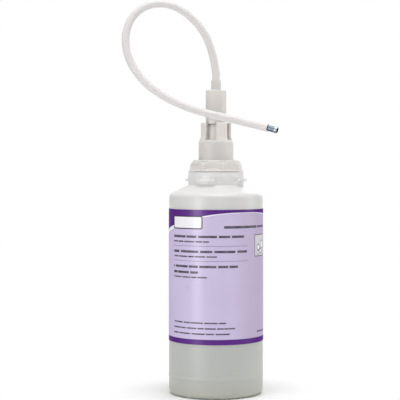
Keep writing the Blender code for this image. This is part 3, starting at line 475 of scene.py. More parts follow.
def use_group(tree, group, **inputs):
    inputs = {key.replace("_", " "): value for key, value in inputs.items()}
    return add_node(tree, "ShaderNodeGroup", inputs, node_tree=group).outputs


def moulded_group():
    """Cloudy tone, fine grain and handling marks of a moulded plastic surface."""
    name = "Moulded surface"
    if name in bpy.data.node_groups:
        return bpy.data.node_groups[name]
    sockets = {
        "Colour": (0.8, 0.8, 0.8, 1), "Cloud Scale": 60.0, "Cloud Depth": 0.04, "Grain Scale": 1500.0,
        "Roughness": 0.4, "Roughness Spread": 0.08,
    }
    tree, given, made = new_group(name, sockets, ["Colour", "Roughness", "Height"])
    place = object_place(tree)
    cloud = maths(tree, "SUBTRACT", noise(tree, place, given["Cloud Scale"]), 0.5)
    grain = maths(tree, "SUBTRACT", noise(tree, place, given["Grain Scale"]), 0.5)
    rub = ramp(tree, noise(tree, place, 900, 1.0, (1, 1, 0.06)), 0.66, 0.8)
    tone = maths(tree, "MULTIPLY_ADD", cloud, given["Cloud Depth"], 1.0)
    lit = add_node(tree, "ShaderNodeHueSaturation", {"Color": given["Colour"], "Value": tone})
    tree.links.new(lit.outputs["Color"], made["Colour"])
    spread = maths(tree, "MULTIPLY_ADD", cloud, given["Roughness Spread"], given["Roughness"])
    tree.links.new(maths(tree, "MULTIPLY_ADD", rub, 0.06, spread), made["Roughness"])
    tree.links.new(maths(tree, "MULTIPLY_ADD", rub, -0.3, grain), made["Height"])
    return tree


def parting_group():
    """The fine line that a two-part mould leaves down both sides of a round piece."""
    tree, given, made = new_group("Parting line", {"Width": 0.3 * MM}, ["Mask"])
    depth = maths(tree, "ABSOLUTE", split(tree, object_place(tree))["Y"])
    near = maths(tree, "DIVIDE", depth, given["Width"])
    tree.links.new(ramp(tree, near, 1.0, 0.3), made["Mask"])
    return tree


def box_group():
    """A filled box with round corners, in the label's own plane."""
    sockets = {"Place": (0, 0, 0), "Centre": (0, 0, 0), "Half Size": (MM, MM, 0), "Corner": 0.2 * MM}
    tree, given, made = new_group("Print box", sockets, ["Mask"])
    offset = vector_maths(tree, "SUBTRACT", given["Place"], given["Centre"])
    folded = vector_maths(tree, "ABSOLUTE", offset)
    inner = vector_maths(tree, "SUBTRACT", folded, given["Half Size"])
    rounding = given["Corner"]
    corner = add_node(tree, "ShaderNodeCombineXYZ", {"X": rounding, "Y": rounding, "Z": 0.0}).outputs[0]
    beyond = vector_maths(tree, "ADD", inner, corner)
    outside = vector_maths(tree, "MAXIMUM", beyond, (0, 0, 0))
    reach = vector_maths(tree, "LENGTH", outside)
    tree.links.new(inside_edge(tree, reach, rounding), made["Mask"])
    return tree


def ring_group():
    """A ring, in the label's own plane. A ring as wide as its radius is a disc."""
    sockets = {"Place": (0, 0, 0), "Centre": (0, 0, 0), "Radius": MM, "Half Width": 0.2 * MM}
    tree, given, made = new_group("Print ring", sockets, ["Mask"])
    reach = vector_maths(tree, "DISTANCE", given["Place"], given["Centre"])
    off = maths(tree, "ABSOLUTE", maths(tree, "SUBTRACT", reach, given["Radius"]))
    tree.links.new(inside_edge(tree, off, given["Half Width"]), made["Mask"])
    return tree


def words_group():
    """Gaps of uneven spacing that break a bar into pieces as long as words."""
    sockets = {"Place": (0, 0, 0), "Word": 7 * MM, "Seed": 0.0}
    tree, given, made = new_group("Word gaps", sockets, ["Mask"])
    along = split(tree, given["Place"])["X"]
    turns = maths(tree, "MULTIPLY", maths(tree, "DIVIDE", along, given["Word"]), 2 * pi)
    slow = maths(tree, "SINE", maths(tree, "ADD", turns, given["Seed"]))
    quick = maths(tree, "SINE", maths(tree, "MULTIPLY_ADD", turns, 1.63, given["Seed"]))
    gap = maths(tree, "ADD", slow, quick)
    words = ramp(tree, gap, 1.50, 1.38)
    faded = noise(tree, given["Place"], 160, 1.0)
    tree.links.new(maths(tree, "MULTIPLY", words, ramp(tree, faded, 0.3, 0.7, 0.82, 0.96)), made["Mask"])
    return tree


def new_material(name):
    material = bpy.data.materials.new(name)
    material.use_nodes = True
    return material, material.node_tree, material.node_tree.nodes["Principled BSDF"]


def add_bump(tree, shader, height, depth, **more):
    """Leads a height into a shader as bump of a given depth."""
    bump = add_node(tree, "ShaderNodeBump", {"Height": height, "Distance": depth, **more})
    feed(tree, shader, {"Normal": bump.outputs["Normal"]})
    return bump.outputs["Normal"]


def join_surface(tree, shader, depth, **inputs):
    """Leads a moulded surface's colour, roughness and bump into a shader."""
    surface = use_group(tree, moulded_group(), **inputs)
    feed(tree, shader, {"Base Color": surface["Colour"], "Roughness": surface["Roughness"]})
    return add_bump(tree, shader, surface["Height"], depth)


def scatter(tree, shader, weight, reach, bend):
    """Lets light run a little way under a plastic's surface."""
    inputs = {"Subsurface Weight": weight, "Subsurface Radius": reach, "Subsurface Scale": 4 * MM}
    feed(tree, shader, {**inputs, "IOR": bend})


def moulding(name, tint, roughness=0.4, cloud=0.05, grain=1500.0, depth=0.012 * MM, subsurface=0.5):
    """White or natural moulded plastic."""
    material, tree, shader = new_material(name)
    skin = {"Cloud_Depth": cloud, "Grain_Scale": grain, "Roughness": roughness}
    join_surface(tree, shader, depth, Colour=tint, **skin)
    scatter(tree, shader, subsurface, (1.0, 0.9, 0.8), 1.49)
    return material


def steel(name, tint, roughness, stretch=(1, 1, 1)):
    """Drawn or turned metal with fine marks along its work."""
    material, tree, shader = new_material(name)
    place = object_place(tree)
    marks = noise(tree, place, 1600, 3.0, stretch)
    stain = noise(tree, place, 220, 2.0)
    dark = tuple(0.9 * value for value in tint[:3]) + (1,)
    worn = maths(tree, "MULTIPLY_ADD", marks, 0.5, maths(tree, "MULTIPLY", stain, 0.5))
    tone = ramp(tree, worn, 0.35, 0.6)
    inputs = {
        "Base Color": blend_colours(tree, tone, dark, tint),
        "Roughness": ramp(tree, marks, 0.3, 0.7, roughness - 0.05, roughness + 0.06),
        "Metallic": 1.0,
    }
    feed(tree, shader, inputs)
    add_bump(tree, shader, marks, 0.002 * MM)
    return material


# Where the bottle's tone changes: from and to heights over the fill line, and over the base
FILL_EDGE = (6.5 * MM, 2.5 * MM)
# Painted light in the soap's tone: full this far under the fill line, and gone at this height
PAINTED_LIGHT_FULL, PAINTED_LIGHT_GONE = -6 * MM, 60 * MM
FOOT_TONE = (22 * MM, 2 * MM)
FILL_WAVE = 1.2 * MM


def bottle_material(sizes):
    """Milky polyethylene: darker where soap stands behind the wall, with a soft fill line, and painted
    light that makes the soap's tone lighter just under the fill line and fades out towards the bottom.
    """
    material, tree, shader = new_material("milky_polyethylene")
    place = object_place(tree)
    height = split(tree, place)["Z"]
    air, soap = sizes.air_colour, sizes.soap_colour
    wavy = maths(tree, "MULTIPLY_ADD", noise(tree, place, 25, 1.0), FILL_WAVE, height)
    filled = ramp(tree, wavy, *(SOAP_TOP + edge for edge in FILL_EDGE))
    # Painted light: the wall over the soap is painted lighter just under the fill line, fading out towards
    # the bottom
    painted_light_fade = ramp(tree, height, SOAP_TOP + PAINTED_LIGHT_FULL, PAINTED_LIGHT_GONE)
    soap_with_painted_light = tuple(0.35 * a + 0.65 * b for a, b in zip(soap, air))
    behind = blend_colours(tree, filled, air, blend_colours(tree, painted_light_fade, soap_with_painted_light, soap))
    low = ramp(tree, height, *FOOT_TONE)
    warm = tuple(a * b for a, b in zip(soap, (0.94, 0.93, 0.87, 1)))
    tinted = blend_colours(tree, low, behind, warm)
    skin = {"Cloud_Scale": 45.0, "Cloud_Depth": 0.035, "Grain_Scale": 900.0, "Roughness": 0.38}
    wall = join_surface(tree, shader, 0.03 * MM, Colour=tinted, **skin)
    line = use_group(tree, parting_group(), Width=0.35 * MM)["Mask"]
    add_bump(tree, shader, line, 0.12 * MM, Normal=wall)
    scatter(tree, shader, 0.25, (1.0, 1.0, 0.95), 1.5)
    return material


def soap_material(sizes):
    """Clear, pale liquid with a few fine bubbles."""
    material, tree, shader = new_material("clear_soap")
    cells = add_node(tree, "ShaderNodeTexVoronoi", {"Vector": object_place(tree), "Scale": 260.0})
    bubble = ramp(tree, cells.outputs["Distance"], 0.16, 0.1)
    pale = tuple(min(1.0, 1.12 * value) for value in sizes.soap_tint)
    inputs = {
        "Base Color": blend_colours(tree, bubble, sizes.soap_tint, pale),
        "Roughness": ramp(tree, bubble, 0, 1, 0.06, 0.2),
        "Transmission Weight": 0.85,
        "IOR": 1.36,
    }
    feed(tree, shader, inputs)
    return material


# Label print, along the film from the front and up from the base

WAVE_THIN = 2.4 * MM
WAVE_SWELL = 21.8 * MM
WAVE_CURL = 1.25
WAVE_THIN_ANGLE = radians(38)
LINE_THIN = 0.5 * MM
LINE_SWELL = 4.4 * MM
INK_LINES = [
    # left, middle height, length, thickness, word, in millimetres
    (-43.2, 137.1, 68.4, 2.0, 9.5),
    (-43.2, 132.9, 37.3, 1.2, 6.0),
    (-43.2, 124.5, 71.5, 2.0, 10.5),
    (-43.2, 120.3, 44.0, 1.2, 5.5),
    (-43.2, 111.9, 62.4, 2.0, 8.5),
    (-43.2, 107.0, 27.7, 2.0, 19.0),
    (-43.2, 102.9, 36.5, 1.2, 5.0),
    (-43.2, 64.6, 51.7, 1.2, 6.5),
    (-43.2, 60.0, 59.6, 1.2, 5.5),
    (-43.2, 55.4, 55.1, 1.2, 7.0),
    (6.7, 145.1, 33.5, 2.2, 40.0),
    (41.0, 55.6, 17.0, 1.2, 6.5),
]
RULES = [(-43.2, 129.2, 72.1), (-43.2, 116.6, 72.1)]
PALE_WORDS = (41.2, 145.1, 15.8, 1.9)
RULE_THICK = 0.35
BAR_CORNER = 0.35
# Painted shade on the label's ground: the distances along the film over which it darkens, and the factors
# it darkens by
PAINTED_SHADE_ALONG = (13 * MM, 33 * MM)
PAINTED_SHADE_BY = (0.87, 0.84, 0.84, 1)
# middle across, middle height, width, height, corner, outline, inner corner, in millimetres
PICTURE = (48.0, 129.0, 20.0, 18.8, 1.0, 0.6, 0.6)
BUBBLES = [
    (44.2, 127.4, 2.5), (43.3, 122.9, 1.6), (48.0, 124.0, 2.0), (51.6, 129.6, 3.4), (51.6, 123.2, 1.3),
]
BUBBLE_LINE = 0.3
BADGE = (-27.4, 149.0, 32.0, 11.3, 1.6, 1.0, 0.9)


def label_material(sizes):
    """Printed film: a purple wave over a white line on lilac, a stripe, bars for text and a picture, with
    painted shade darkening the lilac ground over the right side and round the back.
    """
    material, tree, shader = new_material("printed_film")
    box, ring, words = box_group(), ring_group(), words_group()
    place = object_place(tree)
    parts = split(tree, place)
    turn = maths(tree, "ARCTAN2", parts["X"], maths(tree, "MULTIPLY", parts["Y"], -1.0))
    along = maths(tree, "MULTIPLY", turn, sizes.radius)
    flat = add_node(tree, "ShaderNodeCombineXYZ", {"X": along, "Y": parts["Z"], "Z": 0.0}).outputs[0]
    made = sizes.base_colour

    def bar(left, middle, long, thick, corner=BAR_CORNER):
        centre = ((left + long / 2) * MM, middle * MM, 0)
        half = (long / 2 * MM, thick / 2 * MM, MM)
        return use_group(tree, box, Place=flat, Centre=centre, Half_Size=half, Corner=corner * MM)["Mask"]

    def circle(across, up, radius, line):
        inputs = {"Centre": (across * MM, up * MM, 0), "Radius": radius * MM, "Half_Width": line * MM}
        return use_group(tree, ring, Place=flat, **inputs)["Mask"]

    def paint(mask, tint):
        nonlocal made
        made = blend_colours(tree, mask, made, tint)

    swing = maths(tree, "COSINE", maths(tree, "SUBTRACT", turn, WAVE_THIN_ANGLE))
    swell = maths(tree, "POWER", maths(tree, "MULTIPLY_ADD", swing, -0.5, 0.5), WAVE_CURL)
    drop = maths(tree, "MULTIPLY_ADD", swell, WAVE_SWELL, WAVE_THIN)
    line = maths(tree, "MULTIPLY_ADD", swell, LINE_SWELL, LINE_THIN)
    below = maths(tree, "SUBTRACT", LABEL_TOP, parts["Z"])
    # Painted shade: the lilac ground darkens from a little right of the front round to the back
    paint(ramp(tree, along, *PAINTED_SHADE_ALONG), [a * b for a, b in zip(sizes.base_colour, PAINTED_SHADE_BY)])
    for value, edge, tint in (
        (below, maths(tree, "ADD", drop, line), sizes.line_colour),
        (below, drop, sizes.band_colour), (parts["Z"], LABEL_LOW + sizes.stripe, sizes.band_colour),
    ):
        paint(inside_edge(tree, value, edge), tint)
    for left, middle, long in RULES:
        paint(bar(left, middle, long, RULE_THICK, 0.1), sizes.rule_colour)
    for index, (left, middle, long, thick, word) in enumerate(INK_LINES):
        gaps = use_group(tree, words, Place=flat, Word=word * MM, Seed=1.7 * index)["Mask"]
        paint(maths(tree, "MULTIPLY", bar(left, middle, long, thick), gaps), sizes.ink_colour)
    paint(bar(*PALE_WORDS), sizes.rule_colour)
    for plate, tint in ((PICTURE, sizes.box_colour), (BADGE, sizes.line_colour)):
        across, up, wide, high, corner, rim, inner_corner = plate
        left = across - wide / 2
        paint(bar(left, up, wide, high, corner), sizes.ink_colour)
        paint(bar(left + rim, up, wide - 2 * rim, high - 2 * rim, inner_corner), tint)
    for across, up, radius in BUBBLES:
        paint(circle(across, up, radius / 2, radius / 2), sizes.line_colour)
        paint(circle(across, up, radius, BUBBLE_LINE), sizes.ink_colour)

    printed = ramp(tree, noise(tree, place, 30, 1.0), 0.35, 0.65, 0.985, 1.015)
    lit = add_node(tree, "ShaderNodeHueSaturation", {"Color": made, "Value": printed})
    facing = add_node(tree, "ShaderNodeLayerWeight", {"Blend": 0.5}).outputs["Facing"]
    inputs = {
        "Base Color": lit.outputs["Color"],
        "Roughness": ramp(tree, noise(tree, place, 1400, 1.0), 0.3, 0.7, 0.5, 0.56),
        "Specular IOR Level": 0.08,
        "Coat Weight": ramp(tree, facing, 0.6, 0.14, 0.0, 0.62),
        "Coat Roughness": 0.32,
    }
    feed(tree, shader, inputs)
    add_bump(tree, shader, noise(tree, place, 38, 2.0, (1, 1, 0.25)), 0.25 * MM, Strength=0.5)
    return material


# Pieces

def body_corners(sizes, inset):
    """The bottle's outline from the neck's foot to the middle of the base, set in from its outer face."""
    slope = sizes.shoulder_slope
    wall = sizes.radius - inset
    neck = sizes.band_radius - inset
    top = sizes.shoulder_foot + inset * tan(slope) - inset / cos(slope)
    foot = sizes.foot_radius
    return [
        (neck, top + (wall - neck) * tan(slope), 0.8), (wall, top, 5.1 - inset / MM),
        (wall, inset, 7.9 - inset / MM), (foot + inset / 2, inset, 0.5),
        (foot - 3.5 * MM + inset / 2, 0.8 * sizes.push_up + inset, 1.5), (0, sizes.push_up + inset, 0),
    ]


class SOAP_PACK_OT_bottle(bpy.types.Operator):
    """Blown bottle with its neck band, lugs, grip rib, foot ring and threaded neck"""

    bl_idname = "soap_pack.bottle"
    bl_label = "Bottle"

    def execute(self, context):
        sizes = context.scene.soap_bottle
        slope_rise = (sizes.radius - sizes.band_radius) * tan(sizes.shoulder_slope)
        band_low = sizes.shoulder_foot + slope_rise
        band_top = band_low + sizes.band_height
        neck, *lower = body_corners(sizes, 0)
        rib, rib_radius = sizes.rib_height, sizes.radius + sizes.rib_reach
        panel = LABEL_LOW - sizes.panel_gap
        below_panel = sizes.radius + sizes.panel_step
        belly = sizes.band_radius + sizes.band_bulge
        outside = [
            (sizes.finish_radius, RIM, 0.4), (sizes.finish_radius, band_top, 0.3),
            (sizes.band_radius, band_top, 0.45), (belly, band_top - 0.3 * sizes.band_height, 2.5),
            (belly, band_low + 0.3 * sizes.band_height, 2.5), neck, lower[0],
            (sizes.radius, panel + 0.7 * MM, 0.8), (below_panel, panel - 0.7 * MM, 0.8),
            (below_panel, rib + 2.0 * MM, 1.0), (rib_radius, rib + 1.0 * MM, 0.6),
            (rib_radius, rib - 1.0 * MM, 0.6), (below_panel, rib - 2.0 * MM, 1.0), *lower[1:],
        ]
        finish_bore = sizes.finish_radius - sizes.finish_wall
        ledge = band_top - sizes.finish_wall
        inside = [
            (finish_bore, RIM, 0.3), (finish_bore, ledge, 0.8),
            (sizes.band_radius - sizes.wall, ledge, 0.8), *body_corners(sizes, sizes.wall),
        ]
        outline = list(reversed(rounded(inside, 1))) + rounded(outside, 0.5)
        bottle = as_object("bottle_shell", turned(outline, sizes.sides, closed=False))
        low = band_low + sizes.lug_rise
        inner, outer = sizes.band_radius - sizes.wall / 2, sizes.band_radius + sizes.lug_reach
        high = low + sizes.lug_height
        lugs = sectors(inner, outer, low, high, sizes.lug_width, LUGS, sizes.lug_turn, 16)
        upright = [edge for edge in lugs.edges if abs(edge.calc_length() - sizes.lug_height) < 0.01 * MM]
        round_corners(lugs, [edge for edge in upright if edge.calc_face_angle(0) > radians(60)], 0.8 * MM)
        combine(bottle, lugs, "UNION")
        finish_piece(bottle, bottle_material(sizes), "bottle", ["bottle"])
        return {"FINISHED"}


class SOAP_PACK_OT_label(bpy.types.Operator):
    """Film label with its lap seam and print"""

    bl_idname = "soap_pack.label"
    bl_label = "Label"

    def execute(self, context):
        sizes = context.scene.soap_label
        shape = bmesh.new()
        start = around(sizes.radius, sizes.seam, LABEL_LOW)
        low = shape.verts.new(start)
        high = shape.verts.new(start + UP * (LABEL_TOP - LABEL_LOW))
        sweep = 2 * pi + sizes.lap
        spin(shape, [low, high, shape.edges.new((low, high))], sweep, sizes.sides, False)
        shape.verts.ensure_lookup_table()
        step = sweep / sizes.sides
        foot = 2 * pi - 2.5 * step
        for index, vert in enumerate(shape.verts):
            turned_by = (index // 2) * step
            if turned_by > foot:
                lift = min(1.0, (turned_by - foot) / (2 * step))
                vert.co.xy *= 1 + lift * sizes.lap_lift / sizes.radius
        bmesh.ops.recalc_face_normals(shape, faces=shape.faces)
        outward = sum(face.normal.dot(face.calc_center_median().xy.to_3d()) for face in shape.faces)
        if outward < 0:
            bmesh.ops.reverse_faces(shape, faces=shape.faces)
        label = as_object("label_film", shape)
        reshape(label, "SOLIDIFY", thickness=sizes.thickness, offset=1)
        finish_piece(label, label_material(sizes), "bottle", ["label"])
        return {"FINISHED"}


class SOAP_PACK_OT_soap(bpy.types.Operator):
    """The filling, with a meniscus along the wall"""

    bl_idname = "soap_pack.soap"
    bl_label = "Soap"

    def execute(self, context):
        sizes = context.scene.soap_bottle
        inset = sizes.wall + GAP
        lower = body_corners(sizes, inset)[2:]
        wall = sizes.radius - inset
        outside = [(wall, SOAP_TOP, 0), *lower]
        cylinder, spigot, dip = 7.0 * MM, 5.2 * MM, 3.9 * MM
        foot = SPIGOT_LOW - GAP
        stop = foot + 11 * MM
        bottom = DIP_LOW - 0.6 * MM
        level = SOAP_TOP - 2.2 * MM
        well = [
            (0, bottom), (dip, bottom), (dip, foot), (spigot, foot),
            (spigot, stop), (cylinder, stop), (cylinder, SOAP_TOP - 1.6 * MM),
            (cylinder + 1.8 * MM, level), (wall - 3.0 * MM, level),
            (wall - 1.0 * MM, SOAP_TOP - 1.5 * MM),
        ]
        outline = [Vector(point) for point in well] + rounded(outside, 1)
        soap = as_object("soap_body", turned(outline, 120, closed=False))
        finish_piece(soap, soap_material(sizes), "bottle", ["liquid_soap"])
        return {"FINISHED"}


class SOAP_PACK_OT_cap(bpy.types.Operator):
    """Screw cap: eight drafted flats over a round flange that they cut in arches"""

    bl_idname = "soap_pack.cap"
    bl_label = "Screw cap"

    def execute(self, context):
        sizes = context.scene.soap_pump
        low = CAP_LOW + 0.6 * MM
        high = CAP_TOP + 1.5 * MM
        bore = context.scene.soap_bottle.finish_radius + SLACK
        hole = sizes.collar_radius + SLACK
        taper = (sizes.cap_corner - sizes.cap_corner_top) / (CAP_TOP - low)
        place = Matrix.Translation((0, 0, (low + high) / 2)) @ Matrix.Rotation(sizes.cap_turn, 4, "Z")
        shape = bmesh.new()
        bmesh.ops.create_cone(
            shape, cap_ends=True, segments=CAP_FLATS, radius1=sizes.cap_corner,
            radius2=sizes.cap_corner - taper * (high - low), depth=high - low, matrix=place,
        )
        upright = [edge for edge in shape.edges if abs(edge.verts[0].co.z - edge.verts[1].co.z) > MM]
        round_corners(shape, upright, 0.7 * MM)
        cap = as_object("screw_cap_moulding", shape)
        wide = 1.2 * sizes.cap_corner
        edge = CAP_TOP - sizes.cap_fall
        envelope = [
            (0, CAP_TOP, 0), (sizes.cap_rim, CAP_TOP, 0.9), (sizes.cap_corner_top, edge, 1.5),
            (wide, edge - (wide - sizes.cap_corner_top), 0), (wide, CAP_LOW - PAST, 0),
            (0, CAP_LOW - PAST, 0),
        ]
        combine(cap, turned(rounded(envelope), 128, closed=False), "INTERSECT")
        rise = sizes.cap_flange - bore - 1.2 * MM
        flange = [
            (0, low + rise, 0), (sizes.cap_flange - rise, low + rise, 0), (sizes.cap_flange, low, 0.5),
            (sizes.cap_flange, CAP_LOW, 0.15), (0, CAP_LOW, 0),
        ]
        combine(cap, turned(rounded(flange), 144, closed=False), "UNION")
        plate = CAP_TOP - sizes.cap_plate
        inside = [
            (0, CAP_TOP + PAST), (hole, CAP_TOP + PAST), (hole, plate), (bore, plate),
            (bore, CAP_LOW - PAST), (0, CAP_LOW - PAST),
        ]
        combine(cap, turned(inside, 128, closed=False), "DIFFERENCE")
        inner, notch_low = sizes.cap_rim + 0.7 * MM, CAP_TOP - sizes.notch_depth
        notches = sectors(inner, wide, notch_low, high, sizes.notch_width, CAP_FLATS, sizes.cap_turn, 4)
        combine(cap, notches, "DIFFERENCE")
        soften(cap, 0.12 * MM, 42)
        material = moulding("cap_moulding", sizes.white, 0.52)
        finish_piece(cap, material, "cap", ["screw_cap"], smooth=38)
        return {"FINISHED"}


class SOAP_PACK_OT_collar(bpy.types.Operator):
    """Pump collar: flange, tall body, conical shoulder, four prongs and the chimney inside them"""

    bl_idname = "soap_pack.collar"
    bl_label = "Pump collar"

    def execute(self, context):
        sizes = context.scene.soap_pump
        flange_top = COLLAR_LOW + sizes.flange_height
        body_top = flange_top + sizes.collar_height
        floor = body_top + sizes.collar_wall
        ceiling = floor - sizes.collar_wall
        foot = body_top + sizes.cone_height
        chimney_top = floor + sizes.chimney_height
        flange = context.scene.soap_bottle.finish_radius - GAP
        bore = sizes.collar_radius - sizes.collar_wall
        prong_bore = sizes.prong_radius - sizes.prong_wall
        outline = rounded([
            (sizes.prong_radius, PRONG_TOP, 0.35), (sizes.prong_radius, foot, 1.0),
            (sizes.collar_radius, body_top, 1.2), (sizes.collar_radius, flange_top, 0.3),
            (flange, flange_top, 0.2), (flange, COLLAR_LOW, 0.2), (bore, COLLAR_LOW, 0.2),
            (bore, ceiling, 0.8), (sizes.chimney_bore, ceiling, 0.2),
            (sizes.chimney_bore, chimney_top, 0.25), (sizes.chimney_radius, chimney_top, 0.3),
            (sizes.chimney_radius, floor, 0.3), (prong_bore, floor, 0.3),
            (prong_bore, PRONG_TOP, 0.3),
        ])
        collar = as_object("collar_moulding", turned(outline, sizes.sides))
        inner, outer = (sizes.chimney_radius + prong_bore) / 2, sizes.collar_radius + MM
        width = 2 * pi / PRONGS - sizes.prong_width
        first = radians(1.02) - sizes.prong_width / 2
        slots = sectors(inner, outer, floor + 0.6 * MM, PRONG_TOP + MM, width, PRONGS, first, 16)
        combine(collar, slots, "DIFFERENCE")
        soften(collar, 0.15 * MM, 44)
        material = moulding("collar_moulding", sizes.white, 0.5)
        finish_piece(collar, material, "pump_insert", ["pump_collar"], smooth=38)
        return {"FINISHED"}


class SOAP_PACK_OT_head(bpy.types.Operator):
    """Pump head: skirt over the chimney, chamber for stem and foamer, and the tube's socket"""

    bl_idname = "soap_pack.head"
    bl_label = "Pump head"

    def execute(self, context):
        sizes = context.scene.soap_pump
        top = SOCKET_TOP - sizes.socket_height
        skirt = sizes.chimney_radius + SLACK
        ceiling = HEAD_LOW + sizes.skirt_height
        plate = top - sizes.head_plate
        tube_bore = context.scene.soap_tube.radius + GAP
        outline = rounded([
            (sizes.socket_radius, SOCKET_TOP, 0.25), (sizes.socket_radius, top, 0.6),
            (sizes.head_radius, top, 0.8), (sizes.head_radius, HEAD_LOW, 0.35),
            (skirt, HEAD_LOW, 0.2), (skirt, ceiling, 0.5), (sizes.stem_grip, ceiling, 0.2),
            (sizes.stem_grip, plate, 0.2), (sizes.outlet_bore, plate, 0.2),
            (sizes.outlet_bore, top, 0.2), (tube_bore, top, 0.2), (tube_bore, SOCKET_TOP, 0.15),
        ])
        head = as_object("head_moulding", turned(outline, sizes.sides))
        material = moulding("head_moulding", sizes.white, 0.48)
        finish_piece(head, material, "head", ["pump_head"])
        return {"FINISHED"}


def route_points():
    """The tube's route in place: from the socket's floor, out of its mouth and along the points."""
    mouth = Vector((0, 0, SOCKET_TOP))
    return [mouth - UP * TUBE_DEPTH, *(mouth + Vector(point) * MM for point in TUBE_ROUTE)]


def curve_through(points, part):
    """The place at a share of the way along a smooth curve through the points."""
    last = len(points) - 1
    place = min(part * last, last - 1e-9)
    index = int(place)
    t = place - index
    p1 = points[index]
    p2 = points[index + 1]
    p0 = points[index - 1] if index else 2 * p1 - p2
    p3 = points[index + 2] if index + 2 <= last else 2 * p2 - p1
    bend = 2 * p0 - 5 * p1 + 4 * p2 - p3
    twist = 3 * p1 - p0 - 3 * p2 + p3
    return 0.5 * (2 * p1 + (p2 - p0) * t + bend * t * t + twist * t**3)


class SOAP_PACK_OT_tube(bpy.types.Operator):
    """The metal ferrule and the stiff delivery tube that carries it, in the loop it holds by itself"""

    bl_idname = "soap_pack.tube"
    bl_label = "Delivery tube"

    def execute(self, context):
        sizes = context.scene.soap_tube
        points = route_points()
        end = points[-1]
        ahead = (curve_through(points, 1) - curve_through(points, 0.995)).normalized()
        start = sizes.overlap + sizes.gap
        lip = sizes.tip_length - sizes.lip_length
        waist = sizes.tip_radius - sizes.lip_step
        spigot = sizes.radius - sizes.wall - 0.15 * MM
        rings = [
            (sizes.tip_radius, sizes.tip_length, 0.35), (sizes.tip_radius, lip, 0.3),
            (waist, lip - 0.3 * MM, 0.2), (waist, start, 0.2), (spigot, start, 0.1),
            (spigot, -sizes.spigot_length, 0.2), (spigot - 0.4 * MM, -sizes.spigot_length, 0.1),
            (spigot - 0.4 * MM, start + MM, 0.1), (sizes.tip_bore, start + MM, 0.2),
            (sizes.tip_bore, sizes.tip_length, 0.2),
        ]
        shape = turned(rounded(rings, 0.15), 64)
        for face in shape.faces:
            middle = face.calc_center_median()
            if middle.xy.length < sizes.tip_bore + 0.02 * MM:
                face.material_index = 1
            elif middle.z > lip:
                face.material_index = 2
        turn = ahead.to_track_quat("Z", "Y").to_matrix().to_4x4()
        place = Matrix.Translation(end + ahead * sizes.gap) @ turn
        bmesh.ops.transform(shape, matrix=place, verts=shape.verts)
        ferrule = as_object("outlet_ferrule", shape)
        metal = steel("ferrule_steel", sizes.metal, 0.4)
        finish_piece(ferrule, metal, "head", ["tube_tip"])
        # Painted shade on the inside of the ferrule's bore
        ferrule.data.materials.append(steel("ferrule_bore_painted_shade", sizes.bore, 0.5))
        # Painted highlight on the ring at the ferrule's mouth, over a slightly smoother steel
        ferrule.data.materials.append(steel("ferrule_lip_painted_highlight", sizes.lip, 0.36))

        path = [curve_through(points, index / (sizes.points - 1)) for index in range(sizes.points)]
        path.append(end + ahead * sizes.overlap)
        tube = swept("outlet_tube", path, sizes.radius, rounds=16)
        reshape(tube, "SOLIDIFY", thickness=sizes.wall, offset=-1)
        material = moulding("tube_plastic", sizes.plastic, 0.5, 0.02, 700.0, 0.002 * MM, 0.0)
        finish_piece(tube, material, "head", ["delivery_tube"])
        return {"FINISHED"}


class SOAP_PACK_OT_spring(bpy.types.Operator):
    """Return spring: a wire coil with close end turns, built at one length, though on the pump it shortens
    as the head goes down
    """

    bl_idname = "soap_pack.spring"
    bl_label = "Return spring"

    def execute(self, context):
        sizes = context.scene.soap_pump
        wire = sizes.spring_wire / 2
        end_turn = 1.15 * sizes.spring_wire
        open_rise = SPRING_TOP - SPRING_LOW - sizes.spring_wire - 2 * end_turn
        turns = sizes.spring_turns
        steps = sizes.sides // 3
        path = []
        for index in range(steps * turns + 1):
            turn = index / steps
            opened = min(max(turn - 1, 0), turns - 2)
            closed = turn - opened
            rise = end_turn * closed + open_rise * opened / (turns - 2)
            path.append(around(sizes.spring_radius, 2 * pi * turn, SPRING_LOW + wire + rise))
        spring = swept("spring_coil", path, wire, rounds=3, capped=True)
        material = steel("spring_steel", sizes.steel, 0.24, (1, 1, 0.2))
        finish_piece(spring, material, "pump_insert", ["return_spring"])
        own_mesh(spring)
        return {"FINISHED"}


class SOAP_PACK_OT_pump_inside(bpy.types.Operator):
    """Finishes of the pieces inside: cylinder, pistons, stem, foamer, balls, dip tube and gasket"""

    bl_idname = "soap_pack.pump_inside"
    bl_label = "Pump inside"

    def execute(self, context):
        sizes = context.scene.soap_pump
        natural = moulding("natural_moulding", sizes.natural, 0.3, 0.04, 1300.0, 0.015 * MM, 0.3)
        white = moulding("stem_moulding", sizes.white, 0.36)
        soft = moulding("elastomer", sizes.elastomer, 0.62, 0.08, 2200.0, 0.03 * MM, 0.05)
        ball = steel("ball_steel", sizes.steel, 0.14)
        finishes = {
            natural: (
                "pump_cylinder", "dip_tube", "liquid_piston", "air_piston", "coarse_mesh", "mesh_holder",
                "fine_mesh",
            ),
            white: ("piston_stem",),
            soft: ("neck_gasket", "air_valve"),
            ball: ("inlet_ball", "outlet_ball"),
        }
        for material, names in finishes.items():
            for name in names:
                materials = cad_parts[name].data.materials
                materials.clear()
                materials.append(material)
        return {"FINISHED"}


def straight_rays(tree):
    """1 for what the camera, a reflection or a clear piece shows, and 0 for light on the pack."""
    rays = tree.nodes.new("ShaderNodeLightPath").outputs
    mirrored = maths(tree, "MAXIMUM", rays["Is Glossy Ray"], rays["Is Transmission Ray"])
    return maths(tree, "MAXIMUM", rays["Is Camera Ray"], mirrored)


# Distances from the pack's axis at which the floor starts and ends to fade
FLOOR_FADE = (0.041, 0.1)


